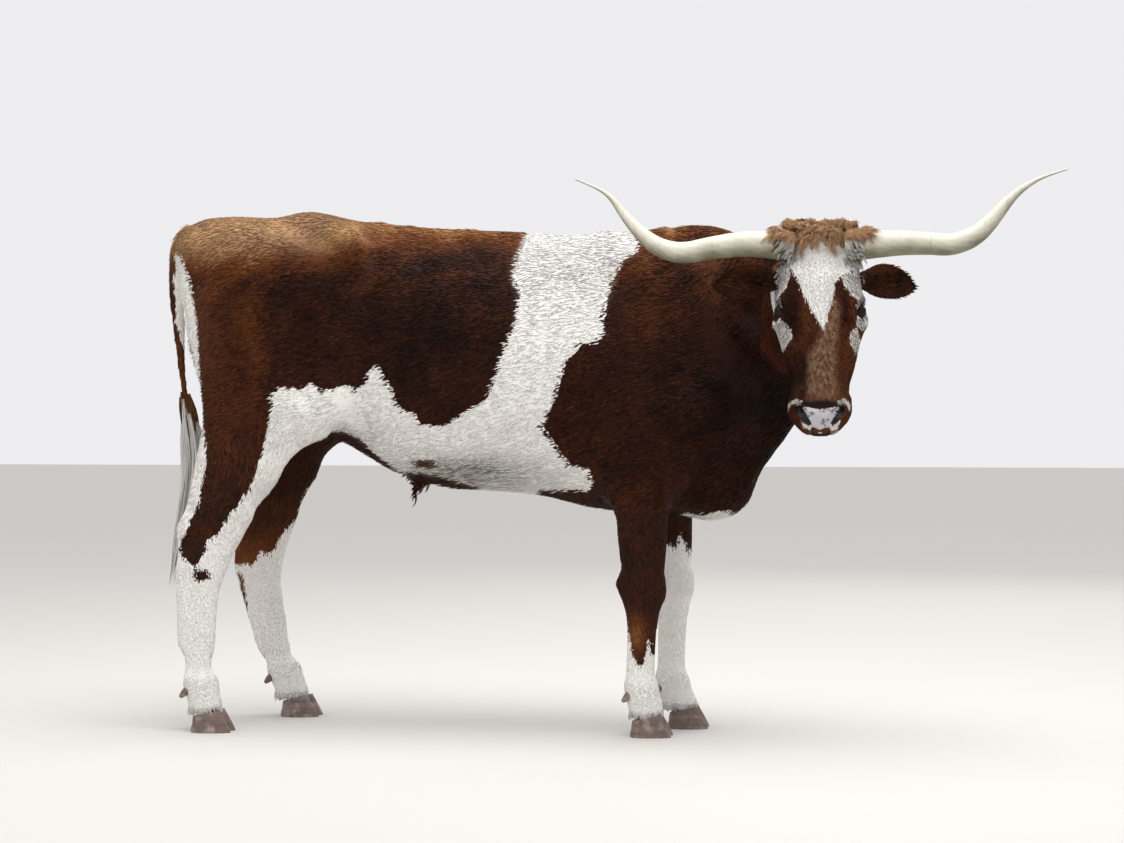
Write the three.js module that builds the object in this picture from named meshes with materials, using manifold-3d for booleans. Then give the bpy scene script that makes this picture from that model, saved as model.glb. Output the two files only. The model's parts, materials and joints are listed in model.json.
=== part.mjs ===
// A life-size Texas longhorn steer, standing with its head turned to its right, as a still model.
// Frame: +X is forward along the body, +Y is the animal's left, +Z is up. Millimetres. The ground is Z = 0.
// All numbers below are in that frame with X and Y counted from under the middle of the barrel. The last
// lines move the whole animal so that the middle of its bounding box stands over the origin.
// Body, neck, head and legs are one smooth field of named bones and muscles. Thin planar cuts part it.

import * as THREE from "three";
import { mergeVertices } from "three/addons/utils/BufferGeometryUtils.js";
import Module from "manifold-3d";

const wasm = await Module();
wasm.setup();

// Driving dimensions of the steer.
const GAP = 0.3; // clearance between meshes that touch
const BACK_HEIGHT = 1324; // loin
const TOP_OF_HIND_LEG = 800; // cut under the haunch
const TOP_OF_FORE_LEG = 612; // cut under the shoulder
const HOCK_CUT = 600;
const KNEE_CUT = 446;
const FORE_STANCE = { right: -130, left: 70 }; // how far each fore hoof stands from the body's midline
const HIND_STANCE = { right: -190, left: 190 };

const POLL = new THREE.Vector3(966, -368, 1316); // top of the forehead, between the horns
const HEAD_TILT = 22; // degrees that the face leans forward from upright
const HEAD_TURN = 2; // degrees short of looking square to the body
const EYE = { along: 207, across: 95, out: -30, radius: 20 }; // eyeball's place on the face and its radius
const EYE_GAZE = 37; // degrees that each eye looks forward from straight sideways
const HORN_RADIUS = 35; // at the base
const EAR_LENGTH = 188;
const EAR_SWING = { right: 4, left: 36 }; // degrees that each ear is turned back

const HOOF = { length: 112, width: 49, toeHeight: 66, heelHeight: 42, lean: 24, cleft: 3 };

const vec = (x, y, z) => new THREE.Vector3(x, y, z);
const { lerp, clamp, degToRad, smoothstep } = THREE.MathUtils;
const SIDES = { right: -1, left: 1 };

// Finishes. Each mesh gets a material of its own.
const coat = (hex) => () => new THREE.MeshStandardMaterial({ color: hex, roughness: 0.8, metalness: 0 });
const RED_COAT = coat(0x5d3018);
const WHITE_COAT = coat(0xe6e2da);
const hornFinish = () => new THREE.MeshStandardMaterial({ color: 0xd8d2bc, roughness: 0.42, metalness: 0 });
const hoofFinish = () => new THREE.MeshStandardMaterial({ color: 0x6e5c52, roughness: 0.55, metalness: 0 });
const eyeFinish = () => new THREE.MeshStandardMaterial({ color: 0x17110d, roughness: 0.08, metalness: 0 });

const steer = new THREE.Group();

// Solids: geometry to closed solid and back.

function solidFrom(points, triangles) {
  const vertProperties = new Float32Array(points.length * 3);
  points.forEach((p, i) => p.toArray(vertProperties, i * 3));
  const triVerts = Uint32Array.from(triangles);
  return new wasm.Manifold(new wasm.Mesh({ numProp: 3, vertProperties, triVerts }));
}

function solidOf(geometry) {
  const bare = new THREE.BufferGeometry();
  bare.setAttribute("position", geometry.getAttribute("position"));
  bare.setIndex(geometry.getIndex());
  const merged = mergeVertices(bare, 1e-3);
  const vertProperties = merged.getAttribute("position").array;
  const triVerts = Uint32Array.from(merged.getIndex().array);
  return new wasm.Manifold(new wasm.Mesh({ numProp: 3, vertProperties, triVerts }));
}

// The largest closed surface of a solid.
function largest(solid) {
  return solid.decompose().reduce((a, b) => (a.volume() > b.volume() ? a : b));
}

function addNode(name, solid, material) {
  const mesh = largest(solid).getMesh();
  const geometry = new THREE.BufferGeometry();
  geometry.setAttribute("position", new THREE.BufferAttribute(new Float32Array(mesh.vertProperties), 3));
  geometry.setIndex(new THREE.BufferAttribute(new Uint32Array(mesh.triVerts), 1));
  geometry.computeVertexNormals();
  const node = new THREE.Mesh(geometry, material());
  node.name = name;
  steer.add(node);
}

// Keeps the side of a plane that its normal points to, half a gap clear of the plane itself.
function keepBeyond(solid, normal, point) {
  const n = normal.clone().normalize();
  return solid.trimByPlane(n.toArray(), n.dot(point) + GAP / 2);
}

// A closed skin over rings of equally many points, with flat ends.
function loft(rings) {
  const sides = rings[0].length;
  const points = rings.flat();
  const ends = [rings[0], rings.at(-1)].map((ring) => {
    const middle = ring.reduce((sum, p) => sum.add(p), vec(0, 0, 0));
    points.push(middle.divideScalar(sides));
    return points.length - 1;
  });
  const triangles = [];
  for (let i = 0; i < sides; i += 1) {
    const j = (i + 1) % sides;
    for (let k = 0; k + 1 < rings.length; k += 1) {
      const low = k * sides;
      const high = low + sides;
      triangles.push(low + i, low + j, high + j, low + i, high + j, high + i);
    }
    const last = (rings.length - 1) * sides;
    triangles.push(ends[0], j, i, ends[1], last + i, last + j);
  }
  const made = solidFrom(points, triangles);
  return made.volume() > 0 ? made : solidFrom(points, triangles.reverse());
}

// Frames carried along a curve without twist: a place, the way along, and two ways across.
function framesAlong(curve, count, startAcross) {
  const frames = [];
  let across = startAcross.clone();
  for (let i = 0; i <= count; i += 1) {
    const t = i / count;
    const along = curve.getTangentAt(t);
    across = across.clone().addScaledVector(along, -across.dot(along)).normalize();
    frames.push({ t, at: curve.getPointAt(t), along, across, other: along.clone().cross(across) });
  }
  return frames;
}

// A round horn, tail or cord along a curve, radius given by a function of the way along.
function taper(curve, count, sides, radius, grow = 0) {
  const rings = framesAlong(curve, count, vec(0, 0, 1)).map((f, step) => {
    const r = radius(f.t) + grow;
    const past = step === 0 ? -grow : step === count ? grow : 0;
    return Array.from({ length: sides }, (_, i) => {
      const angle = (i / sides) * 2 * Math.PI;
      const p = f.at.clone().addScaledVector(f.along, past);
      return p.addScaledVector(f.across, r * Math.cos(angle)).addScaledVector(f.other, r * Math.sin(angle));
    });
  });
  return loft(rings);
}

// Smooth tables: rows of a place and the sizes there. at(x) gives the sizes anywhere between.

function table(rows) {
  const places = rows.map((row) => row[0]);
  const slope = (i, c) => {
    const a = Math.max(i - 1, 0);
    const b = Math.min(i + 1, rows.length - 1);
    return (rows[b][c] - rows[a][c]) / (places[b] - places[a]);
  };
  return (x) => {
    let i = 0;
    while (i < rows.length - 2 && x > places[i + 1]) i += 1;
    const span = places[i + 1] - places[i];
    const t = clamp((x - places[i]) / span, 0, 1);
    const t2 = t * t;
    const t3 = t2 * t;
    return rows[i].slice(1).map((value, n) => {
      const c = n + 1;
      const pull = slope(i, c) * (t3 - 2 * t2 + t) + slope(i + 1, c) * (t3 - t2);
      return value * (2 * t3 - 3 * t2 + 1) + rows[i + 1][c] * (3 * t2 - 2 * t3) + pull * span;
    });
  };
}

// The field: negative inside, about the distance in millimetres near the surface.

const smoothMin = (a, b, blend) => {
  const h = Math.max(blend - Math.abs(a - b), 0) / blend;
  return Math.min(a, b) - (h * h * blend) / 4;
};

const muscle = (centre, rx, ry, rz) => (p) => {
  const x = p.x - centre.x;
  const y = p.y - centre.y;
  const z = p.z - centre.z;
  const near = Math.hypot(x / rx, y / ry, z / rz);
  const steep = Math.hypot(x / rx / rx, y / ry / ry, z / rz / rz);
  return steep < 1e-9 ? -Math.min(rx, ry, rz) : (near * (near - 1)) / steep;
};

// A tapering bone from a to b. flat squeezes it from side to side.
const bone = (a, b, radiusA, radiusB, flat = 1) => {
  const ab = b.clone().sub(a);
  const length2 = ab.lengthSq();
  return (p) => {
    const x = p.x - a.x;
    const y = p.y - a.y;
    const z = p.z - a.z;
    const t = clamp((x * ab.x + y * ab.y + z * ab.z) / length2, 0, 1);
    const across = (y - ab.y * t) / flat;
    return (Math.hypot(x - ab.x * t, across, z - ab.z * t) - lerp(radiusA, radiusB, t)) * lerp(flat, 1, 0.4);
  };
};

// Signed distance to an oval of half sizes a and b, squareness n, at x, y from its middle.
function ovalDistance(x, y, a, b, n) {
  const far = Math.hypot(x, y);
  if (far < 1e-6) return -Math.min(a, b);
  return far - far / ((Math.abs(x) / a) ** n + (Math.abs(y) / b) ** n) ** (1 / n);
}

// Trunk: barrel, loin and pelvis.
const TRUNK_ENDS = [-806, 760];
const trunkSizes = table([
  // x, back, belly, half width, height of the widest place, squareness of the top
  [-806, 1326, 1215, 34, 1290, 2.0],
  [-780, 1370, 1150, 72, 1280, 2.0],
  [-720, 1396, 1040, 128, 1250, 1.9],
  [-630, 1402, 955, 178, 1210, 1.8],
  [-540, 1388, 900, 208, 1190, 1.8],
  [-450, 1400, 850, 222, 1190, 1.75],
  [-370, 1384, 785, 228, 1180, 1.9],
  [-290, 1354, 745, 236, 1130, 2.2],
  [-195, 1337, 690, 252, 1050, 2.3],
  [-60, 1326, 654, 272, 990, 2.3],
  [80, BACK_HEIGHT, 642, 280, 960, 2.25],
  [220, 1323, 628, 270, 950, 2.15],
  [340, 1325, 598, 246, 950, 2.0],
  [450, 1332, 584, 222, 950, 1.9],
  [560, 1330, 586, 198, 900, 1.9],
  [660, 1270, 590, 160, 860, 2.0],
  [760, 1000, 640, 90, 800, 2.0],
]);

function trunk(p) {
  const beyond = Math.max(TRUNK_ENDS[0] - p.x, p.x - TRUNK_ENDS[1], 0);
  const [back, belly, half, widest, square] = trunkSizes(p.x);
  const z = p.z - widest;
  const d = z > 0
    ? ovalDistance(p.y, z, half, back - widest, square)
    : ovalDistance(p.y, z, half, widest - belly, 2.2);
  return beyond > 0 ? Math.hypot(Math.max(d, 0), beyond) : d;
}

// Neck: upright slices square to a path that bends from the shoulders round to the head.
const NECK_SLICES = [
  // x, y, crest, throat, half width
  [540, 0, 1338, 640, 190],
  [650, -4, 1346, 606, 168],
  [752, -40, 1344, 668, 140],
  [836, -112, 1336, 762, 120],
  [898, -196, 1322, 868, 106],
  [938, -282, 1302, 968, 96],
  [960, -352, 1290, 1040, 86],
];
const neckSizes = table(
  NECK_SLICES.map(([, , ...sizes], i) => [i / (NECK_SLICES.length - 1), ...sizes]),
);
const neckPath = new THREE.CatmullRomCurve3(NECK_SLICES.map(([x, y]) => vec(x, y, 0)));
const NECK_STEPS = 30;
const neckPlaces = Array.from({ length: NECK_STEPS + 1 }, (_, i) => ({
  t: i / NECK_STEPS,
  at: neckPath.getPoint(i / NECK_STEPS),
  along: neckPath.getTangent(i / NECK_STEPS).normalize(),
}));

function neck(p) {
  let best = neckPlaces[0];
  let bestSquare = Infinity;
  for (const place of neckPlaces) {
    const square = (p.x - place.at.x) ** 2 + (p.y - place.at.y) ** 2;
    if (square < bestSquare) {
      bestSquare = square;
      best = place;
    }
  }
  const ahead = (p.x - best.at.x) * best.along.x + (p.y - best.at.y) * best.along.y;
  const sideways = (p.y - best.at.y) * best.along.x - (p.x - best.at.x) * best.along.y;
  const isEnd = best.t === 0 || best.t === 1;
  const pathStep = neckPath.getLength() / NECK_STEPS;
  const t = clamp(best.t + ahead / pathStep / NECK_STEPS, 0, 1);
  const [crest, throat, half] = neckSizes(t);
  const middle = lerp(throat, crest, 0.56);
  const z = p.z - middle;
  const d = z > 0
    ? ovalDistance(sideways, z, half, crest - middle, 1.75)
    : ovalDistance(sideways, z, half, middle - throat, 1.8);
  const beyond = isEnd ? Math.max(best.t === 0 ? -ahead : ahead, 0) : 0;
  return beyond > 0 ? Math.hypot(Math.max(d, 0), beyond) : d;
}

// Head: a frame of its own. along runs down the face from the poll, across to its left, out from the face.
const headFrame = new THREE.Matrix4().makeRotationZ(degToRad(-90 + HEAD_TURN));
headFrame.multiply(new THREE.Matrix4().makeRotationY(degToRad(90 - HEAD_TILT)));
headFrame.setPosition(POLL);
const onHead = (along, across, out) => vec(along, across, out).applyMatrix4(headFrame);
const toHead = headFrame.clone().invert();

const headSizes = table([
  // along, half width, face line, jaw line, squareness
  [-46, 40, -46, -96, 2.0],
  [-24, 84, -16, -132, 2.3],
  [0, 96, -4, -160, 2.5],
  [60, 90, 6, -206, 2.6],
  [120, 97, 10, -232, 2.7],
  [190, 104, 8, -228, 2.6],
  [250, 94, 2, -200, 2.4],
  [310, 82, -2, -166, 2.3],
  [370, 72, -5, -140, 2.3],
  [430, 68, -7, -124, 2.5],
  [476, 70, -12, -116, 2.6],
  [502, 58, -28, -104, 2.4],
  [518, 28, -50, -86, 2.1],
]);
const HEAD_ENDS = [-46, 518];

function skull(h) {
  const beyond = Math.max(HEAD_ENDS[0] - h.x, h.x - HEAD_ENDS[1], 0);
  const [half, face, jaw, square] = headSizes(h.x);
  const middle = lerp(jaw, face, 0.62);
  const z = h.z - middle;
  const d = z > 0
    ? ovalDistance(h.y, z, half, face - middle, square)
    : ovalDistance(h.y, z, half, middle - jaw, 1.9);
  return beyond > 0 ? Math.hypot(Math.max(d, 0), beyond) : d;
}

const headForms = [];
for (const s of [-1, 1]) {
  headForms.push(
    [muscle(vec(EYE.along, s * EYE.across, EYE.out), 38, 25, 27), 34], // orbit
    [bone(vec(EYE.along - 60, s * 74, -18), vec(EYE.along + 14, s * 80, -20), 22, 22), 34], // brow
    [bone(vec(232, s * 86, -50), vec(336, s * 62, -62), 24, 15), 36], // cheek bone
    [muscle(vec(168, s * 70, -134), 92, 26, 76), 34], // cheek muscle
    [bone(vec(20, s * 86, -30), vec(120, s * 80, -14), 22, 15), 30], // edge of the forehead, under the horn
    [bone(vec(330, s * 44, -96), vec(470, s * 40, -104), 30, 24), 26], // side of the lower jaw
    [muscle(vec(462, s * 52, -40), 44, 27, 33), 20], // side of the muzzle, round the nostril
    [bone(vec(430, s * 60, -74), vec(506, s * 32, -72), 20, 17), 18], // upper lip
  );
}
headForms.push(
  [bone(vec(150, 0, -16), vec(420, 0, -22), 34, 24), 34], // nose bone
  [muscle(vec(484, 0, -42), 34, 52, 34), 18], // muzzle pad
  [muscle(vec(480, 0, -99), 38, 46, 25), 16], // lower lip and chin
);

const headPoint = vec(0, 0, 0);
function head(p) {
  headPoint.copy(p).applyMatrix4(toHead);
  return headForms.reduce((d, [form, blend]) => smoothMin(d, form(headPoint), blend), skull(headPoint));
}

// Legs: each hind or fore leg is the same set of bones. The left ones step forward, by stepAt(z).
const LEG_PLACES = {
  hind: {
    right: {
      step: table([[0, 0], [800, 0]]),
      y: table([[0, HIND_STANCE.right], [300, -188], [540, -178], [860, -172], [1200, -140]]),
    },
    left: {
      step: table([[0, 152], [80, 144], [183, 120], [325, 84], [430, 64], [567, 46], [700, 20], [900, 0]]),
      y: table([[0, HIND_STANCE.left], [300, 188], [540, 178], [860, 172], [1200, 140]]),
    },
  },
  fore: {
    right: {
      step: table([[0, 0], [800, 0]]),
      y: table([[0, FORE_STANCE.right], [380, -140], [620, -150], [900, -165], [1200, -150]]),
    },
    left: {
      step: table([[0, 80], [80, 66], [180, 58], [380, 54], [620, 34], [900, 0]]),
      y: table([[0, FORE_STANCE.left], [380, 104], [620, 142], [900, 165], [1200, 150]]),
    },
  },
};
const legPoint = (leg, x, z, inset = 0) => {
  const [y] = leg.y(z);
  return vec(x + leg.step(z)[0], y - Math.sign(y) * inset, z);
};

function hindLeg(leg) {
  const at = (x, z, inset) => legPoint(leg, x, z, inset);
  return [
    [bone(at(-560, 1090, -6), at(-520, 880), 150, 128, 0.62), 60], // thigh
    [bone(at(-742, 1250, 52), at(-652, 840, 22), 52, 56, 0.9), 50], // back of the thigh
    [bone(at(-372, 1120, -44), at(-398, 880, -22), 52, 60, 0.7), 60], // front of the thigh
    [muscle(at(-394, 862, -14), 60, 44, 66), 50], // stifle
    [bone(at(-500, 870), at(-612, 640), 122, 66, 0.5), 40], // gaskin
    [bone(at(-560, 700), at(-664, 560), 68, 46, 0.72), 30], // shin
    [bone(at(-652, 820), at(-722, 640), 50, 24, 0.8), 36], // tendon to the hock
    [bone(at(-722, 640), at(-746, 540), 24, 26, 0.85), 24],
    [bone(at(-750, 536), at(-744, 440), 27, 26, 0.9), 20], // point of the hock
    [bone(at(-634, 584), at(-690, 430), 72, 54, 0.62), 24], // hock
    [bone(at(-690, 440), at(-698, 200), 44, 36, 0.78), 24], // shank
    [bone(at(-756, 430), at(-744, 190), 28, 25, 0.85), 22], // tendon behind the shank
    [muscle(at(-706, 130), 52, 41, 42), 26], // fetlock
    [bone(at(-696, 110), at(-684, 30), 47, 54, 0.84), 22], // pastern
  ];
}

function foreLeg(leg) {
  const at = (x, z, inset) => legPoint(leg, x, z, inset);
  return [
    [bone(at(560, 1180, 30), at(640, 870, -14), 70, 84, 0.62), 60], // shoulder blade
    [bone(at(450, 1210, 20), at(520, 900, -20), 62, 84, 0.6), 60],
    [muscle(at(676, 838, -4), 72, 52, 78), 46], // point of the shoulder
    [bone(at(600, 850, -8), at(486, 720, 2), 106, 98, 0.62), 50], // upper arm
    [muscle(at(404, 716, 14), 42, 34, 58), 36], // elbow
    [bone(at(486, 720, 4), at(490, 470), 92, 64, 0.68), 36], // forearm
    [muscle(at(492, 390), 66, 46, 62), 30], // knee
    [bone(at(438, 410), at(446, 350), 24, 22, 0.9), 20], // bone behind the knee
    [bone(at(500, 340), at(488, 160), 38, 34, 0.82), 24], // shank
    [bone(at(464, 340), at(460, 160), 22, 21, 0.9), 20], // tendon behind the shank
    [muscle(at(484, 124), 48, 42, 40), 24], // fetlock
    [bone(at(488, 110), at(506, 30), 46, 54, 0.86), 22], // pastern
  ];
}

const bodyForms = [
  [muscle(vec(-744, 0, 1290), 52, 100, 78), 50], // buttocks at the tail head
  [bone(vec(-470, 0, 1372), vec(-740, 0, 1362), 30, 36), 40], // sacrum and tail head
  [bone(vec(-440, 0, 1360), vec(380, 0, 1288), 40, 38), 60], // backbone
  [bone(vec(400, 0, 1290), vec(640, -6, 1296), 52, 56, 0.8), 60], // withers and neck crest
  [muscle(vec(676, -8, 690), 92, 84, 140), 60], // brisket
  [bone(vec(-40, 0, 700), vec(-250, 0, 752), 40, 26), 30], // sheath and navel line
];
for (const s of [-1, 1]) {
  bodyForms.push(
    [bone(vec(-304, s * 180, 1324), vec(-430, s * 96, 1352), 42, 42), 90], // hook bone
    [bone(vec(-748, s * 84, 1292), vec(-560, s * 130, 1280), 50, 84, 0.8), 60], // pin bone and rump
    [muscle(vec(-520, s * 150, 1180), 190, 92, 150), 70], // haunch
    [bone(vec(-240, s * 206, 960), vec(-370, s * 200, 850), 28, 40, 0.6), 70], // flank fold
  );
}
for (const side of ["right", "left"]) {
  bodyForms.push(...hindLeg(LEG_PLACES.hind[side]), ...foreLeg(LEG_PLACES.fore[side]));
}

// The whole field.
function flesh(p) {
  let d = trunk(p);
  for (const [form, blend] of bodyForms) d = smoothMin(d, form(p), blend);
  d = smoothMin(d, neck(p), 70);
  return smoothMin(d, head(p), 34);
}

// Moves a point onto the surface of the field.
const STEP = 0.5;
function settle(p, limit) {
  const start = p.clone();
  const q = vec(0, 0, 0);
  for (let round = 0; round < 4; round += 1) {
    const d = flesh(p);
    const slope = vec(
      flesh(q.copy(p).setX(p.x + STEP)) - d,
      flesh(q.copy(p).setY(p.y + STEP)) - d,
      flesh(q.copy(p).setZ(p.z + STEP)) - d,
    ).divideScalar(STEP);
    p.addScaledVector(slope, -d / Math.max(slope.lengthSq(), 0.05));
  }
  const moved = p.distanceTo(start);
  return moved > limit ? p.lerpVectors(start, p, limit / moved) : p;
}

// Surface nets: one point for each cell of a grid that the surface crosses, joined across the cells' edges.
// The grid lies in a frame of its own. Its outer layer is outside, so the net closes.
function net(xs, ys, zs, frame = new THREE.Matrix4()) {
  const [nx, ny, nz] = [xs.length, ys.length, zs.length];
  const index = (i, j, k) => (k * ny + j) * nx + i;
  const value = new Float64Array(nx * ny * nz);
  const p = vec(0, 0, 0);
  for (let k = 0; k < nz; k += 1) {
    for (let j = 0; j < ny; j += 1) {
      for (let i = 0; i < nx; i += 1) {
        const isRim = i === 0 || j === 0 || k === 0 || i === nx - 1 || j === ny - 1 || k === nz - 1;
        const d = flesh(p.set(xs[i], ys[j], zs[k]).applyMatrix4(frame));
        value[index(i, j, k)] = isRim ? Math.max(d, 1) : d;
      }
    }
  }
  const points = [];
  const cell = new Int32Array(nx * ny * nz).fill(-1);
  for (let k = 0; k + 1 < nz; k += 1) {
    for (let j = 0; j + 1 < ny; j += 1) {
      for (let i = 0; i + 1 < nx; i += 1) {
        const sum = vec(0, 0, 0);
        let crossings = 0;
        for (const [di, dj, dk] of [[1, 0, 0], [0, 1, 0], [0, 0, 1]]) {
          for (const a of [0, 1]) {
            for (const b of [0, 1]) {
              const [ci, cj, ck] = di ? [i, j + a, k + b] : dj ? [i + a, j, k + b] : [i + a, j + b, k];
              const low = value[index(ci, cj, ck)];
              const high = value[index(ci + di, cj + dj, ck + dk)];
              if (low < 0 === high < 0) continue;
              const t = low / (low - high);
              sum.x += lerp(xs[ci], xs[ci + di], t);
              sum.y += lerp(ys[cj], ys[cj + dj], t);
              sum.z += lerp(zs[ck], zs[ck + dk], t);
              crossings += 1;
            }
          }
        }
        if (!crossings) continue;
        const size = Math.min(xs[i + 1] - xs[i], ys[j + 1] - ys[j], zs[k + 1] - zs[k]);
        const onRim = i === 0 || j === 0 || k === 0 || i === nx - 2 || j === ny - 2 || k === nz - 2;
        const point = sum.divideScalar(crossings).applyMatrix4(frame);
        cell[index(i, j, k)] = points.length;
        points.push(onRim ? point : settle(point, size * 0.45));
      }
    }
  }
  const triangles = [];
  const quad = (a, b, c, d, flip) => {
    const [p0, p1, p2, p3] = [a, b, c, d].map((n) => points[n]);
    const split = p0.distanceTo(p2) < p1.distanceTo(p3) ? [a, b, c, a, c, d] : [a, b, d, b, c, d];
    triangles.push(...(flip ? split.reverse() : split));
  };
  for (let k = 0; k + 1 < nz; k += 1) {
    for (let j = 0; j + 1 < ny; j += 1) {
      for (let i = 0; i + 1 < nx; i += 1) {
        const here = value[index(i, j, k)] < 0;
        const at = (di, dj, dk) => cell[index(i - di, j - dj, k - dk)];
        const crosses = (di, dj, dk) => here !== value[index(i + di, j + dj, k + dk)] < 0;
        if (j && k && crosses(1, 0, 0)) quad(at(0, 1, 1), at(0, 0, 1), at(0, 0, 0), at(0, 1, 0), !here);
        if (i && k && crosses(0, 1, 0)) quad(at(1, 0, 1), at(1, 0, 0), at(0, 0, 0), at(0, 0, 1), !here);
        if (i && j && crosses(0, 0, 1)) quad(at(1, 1, 0), at(0, 1, 0), at(0, 0, 0), at(1, 0, 0), !here);
      }
    }
  }
  return { points, triangles };
}
const netSolid = (...grid) => {
  const { points, triangles } = net(...grid);
  return solidFrom(points, triangles);
};

// Places from the first number on, in runs of [end, step].
function spaced(start, ...runs) {
  const places = [start];
  for (const [end, step] of runs) {
    const low = places.at(-1);
    const count = Math.round((end - low) / step);
    for (let i = 1; i <= count; i += 1) places.push(lerp(low, end, i / count));
  }
  return places;
}

// Planes that part the body. The head's comes off along two: behind the poll and jaw, and under the jaw.
const DOWN = vec(0, 0, -1);
const UP = vec(0, 0, 1);
const level = (z) => vec(0, 0, z);
const NECK_CUT = { normal: vec(710, 0, 280), point: vec(560, 0, 1330) };
const headWay = (along, across, out) => onHead(along, across, out).sub(POLL);
const POLL_CUT = { normal: headWay(-0.84, 0, -0.54), point: onHead(-22, 0, -74) };
const JAW_CUT = { normal: headWay(0.12, 0, -1), point: onHead(200, 0, -246) };

// A block between two corners, in a frame of its own.
function block(low, high, frame = new THREE.Matrix4()) {
  const size = high.clone().sub(low);
  const middle = low.clone().add(high).multiplyScalar(0.5);
  const box = new THREE.BoxGeometry(size.x, size.y, size.z).translate(middle.x, middle.y, middle.z);
  return solidOf(box.applyMatrix4(frame));
}

// Everything on the head's side of its two cuts, with half a gap off (clear = 1) or on (clear = -1).
function headSide(clear) {
  const whole = block(vec(-300, -400, -600), vec(700, 400, 300), headFrame);
  return [POLL_CUT, JAW_CUT].reduce((solid, { normal, point }) => {
    const n = normal.clone().normalize().negate();
    return solid.trimByPlane(n.toArray(), n.dot(point) + (clear * GAP) / 2);
  }, whole);
}

// Horns: round, out sideways from the poll, then sweeping up.
const HORN_PATHS = {
  right: [
    [896, -386, 1276],
    [840, -396, 1283],
    [764, -412, 1284],
    [690, -424, 1274],
    [618, -430, 1263],
    [560, -426, 1279],
    [514, -418, 1314],
    [470, -406, 1362],
    [425, -396, 1416],
    [343, -388, 1456],
  ],
  left: [
    [1036, -386, 1276],
    [1099, -396, 1281],
    [1170, -410, 1284],
    [1240, -422, 1281],
    [1296, -428, 1279],
    [1356, -426, 1302],
    [1404, -418, 1350],
    [1452, -406, 1404],
    [1510, -394, 1442],
    [1581, -386, 1466],
  ],
};
const hornRadius = (t) => HORN_RADIUS * (1 - 0.22 * smoothstep(t, 0.02, 0.42) - 0.72 * smoothstep(t, 0.4, 1));
const horn = (side, grow = 0) => {
  const path = new THREE.CatmullRomCurve3(HORN_PATHS[side].map((p) => vec(...p)));
  return taper(path, 17, 10, hornRadius, grow);
};

// Ears: a cup that opens forwards, on a round stem.
const EAR_ROOT = { along: 104, across: 84, out: -70 };
const earSizes = table([
  // share of the length, half height, thickness of the back of the cup, depth of its hollow
  [0, 20, 15, -15],
  [0.14, 26, 17, -13],
  [0.3, 40, 22, 4],
  [0.5, 48, 23, 12],
  [0.72, 43, 18, 10],
  [0.88, 27, 12, 6],
  [1, 6, 5, 1],
]);
const EAR_WALL = 5;
const EAR_ARC = 7; // points across each face of an ear
function ear(side, grow = 0) {
  const s = SIDES[side];
  const root = onHead(EAR_ROOT.along, s * EAR_ROOT.across, EAR_ROOT.out);
  const swing = degToRad(EAR_SWING[side]);
  const axis = vec(s * Math.cos(swing), Math.sin(swing), -0.06).normalize();
  const back = vec(-s * Math.sin(swing), Math.cos(swing), 0.1).normalize();
  const up = vec(0, 0, 1).addScaledVector(axis, -axis.z).normalize();
  const rings = [0, 0.1, 0.2, 0.31, 0.43, 0.56, 0.68, 0.8, 0.91, 1].map((t) => {
    const [half, thick, hollow] = earSizes(t);
    const past = t === 0 ? -grow : t === 1 ? grow : 0;
    const middle = root.clone().addScaledVector(axis, t * (EAR_LENGTH + 16) + past);
    middle.addScaledVector(up, 8 * Math.sin(Math.PI * t));
    const point = (height, depth) => middle.clone().addScaledVector(up, height).addScaledVector(back, depth);
    const outer = Array.from({ length: EAR_ARC }, (_, i) => {
      const angle = (i / (EAR_ARC - 1)) * Math.PI;
      return point((half + grow) * Math.cos(angle), (thick + grow) * Math.sin(angle));
    });
    const inner = Array.from({ length: EAR_ARC - 2 }, (_, i) => {
      const angle = Math.PI - ((i + 1) / (EAR_ARC - 1)) * Math.PI;
      const depth = Math.min(hollow, thick - EAR_WALL) - grow;
      return point((half + grow) * 0.94 * Math.cos(angle), depth * Math.sin(angle));
    });
    return [...outer, ...inner];
  });
  return loft(rings);
}

// Eyes: a ball in a socket, with an almond opening between two lids.
function eyeFrame(side) {
  const s = SIDES[side];
  const gaze = degToRad(EYE_GAZE);
  const look = headWay(0.05, s * Math.cos(gaze), Math.sin(gaze)).normalize();
  const toNose = headWay(0.8, -s * 0.6 * Math.sin(gaze), 0.6 * Math.cos(gaze));
  toNose.addScaledVector(look, -toNose.dot(look)).normalize();
  const frame = new THREE.Matrix4().makeBasis(toNose, look.clone().cross(toNose), look);
  return frame.setPosition(onHead(EYE.along, s * EYE.across, EYE.out));
}

const eyeball = (side, grow = 0) => {
  const ball = new THREE.SphereGeometry(EYE.radius + grow, 12, 8).rotateX(Math.PI / 2);
  return solidOf(ball.applyMatrix4(eyeFrame(side)));
};

const LID_STEPS = 12;
const LID_OPEN = { corner: 46, lid: 27 }; // half angles of the opening, seen from the middle of the eyeball
function lidPoint(frame, turn, radius) {
  const angle = turn * 2 * Math.PI;
  const open = degToRad(lerp(LID_OPEN.lid, LID_OPEN.corner, Math.abs(Math.cos(angle)) ** 1.6));
  const p = vec(Math.cos(angle) * Math.sin(open), Math.sin(angle) * Math.sin(open), Math.cos(open));
  return p.multiplyScalar(radius).applyMatrix4(frame);
}

// The opening, as a widening plug from the middle of the eyeball outwards.
function lidOpening(side) {
  const frame = eyeFrame(side);
  const turns = Array.from({ length: LID_STEPS }, (_, i) => i / LID_STEPS);
  const ring = (radius) => turns.map((turn) => lidPoint(frame, turn, radius));
  return loft([ring(2), ring(EYE.radius * 2.6)]);
}

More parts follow.
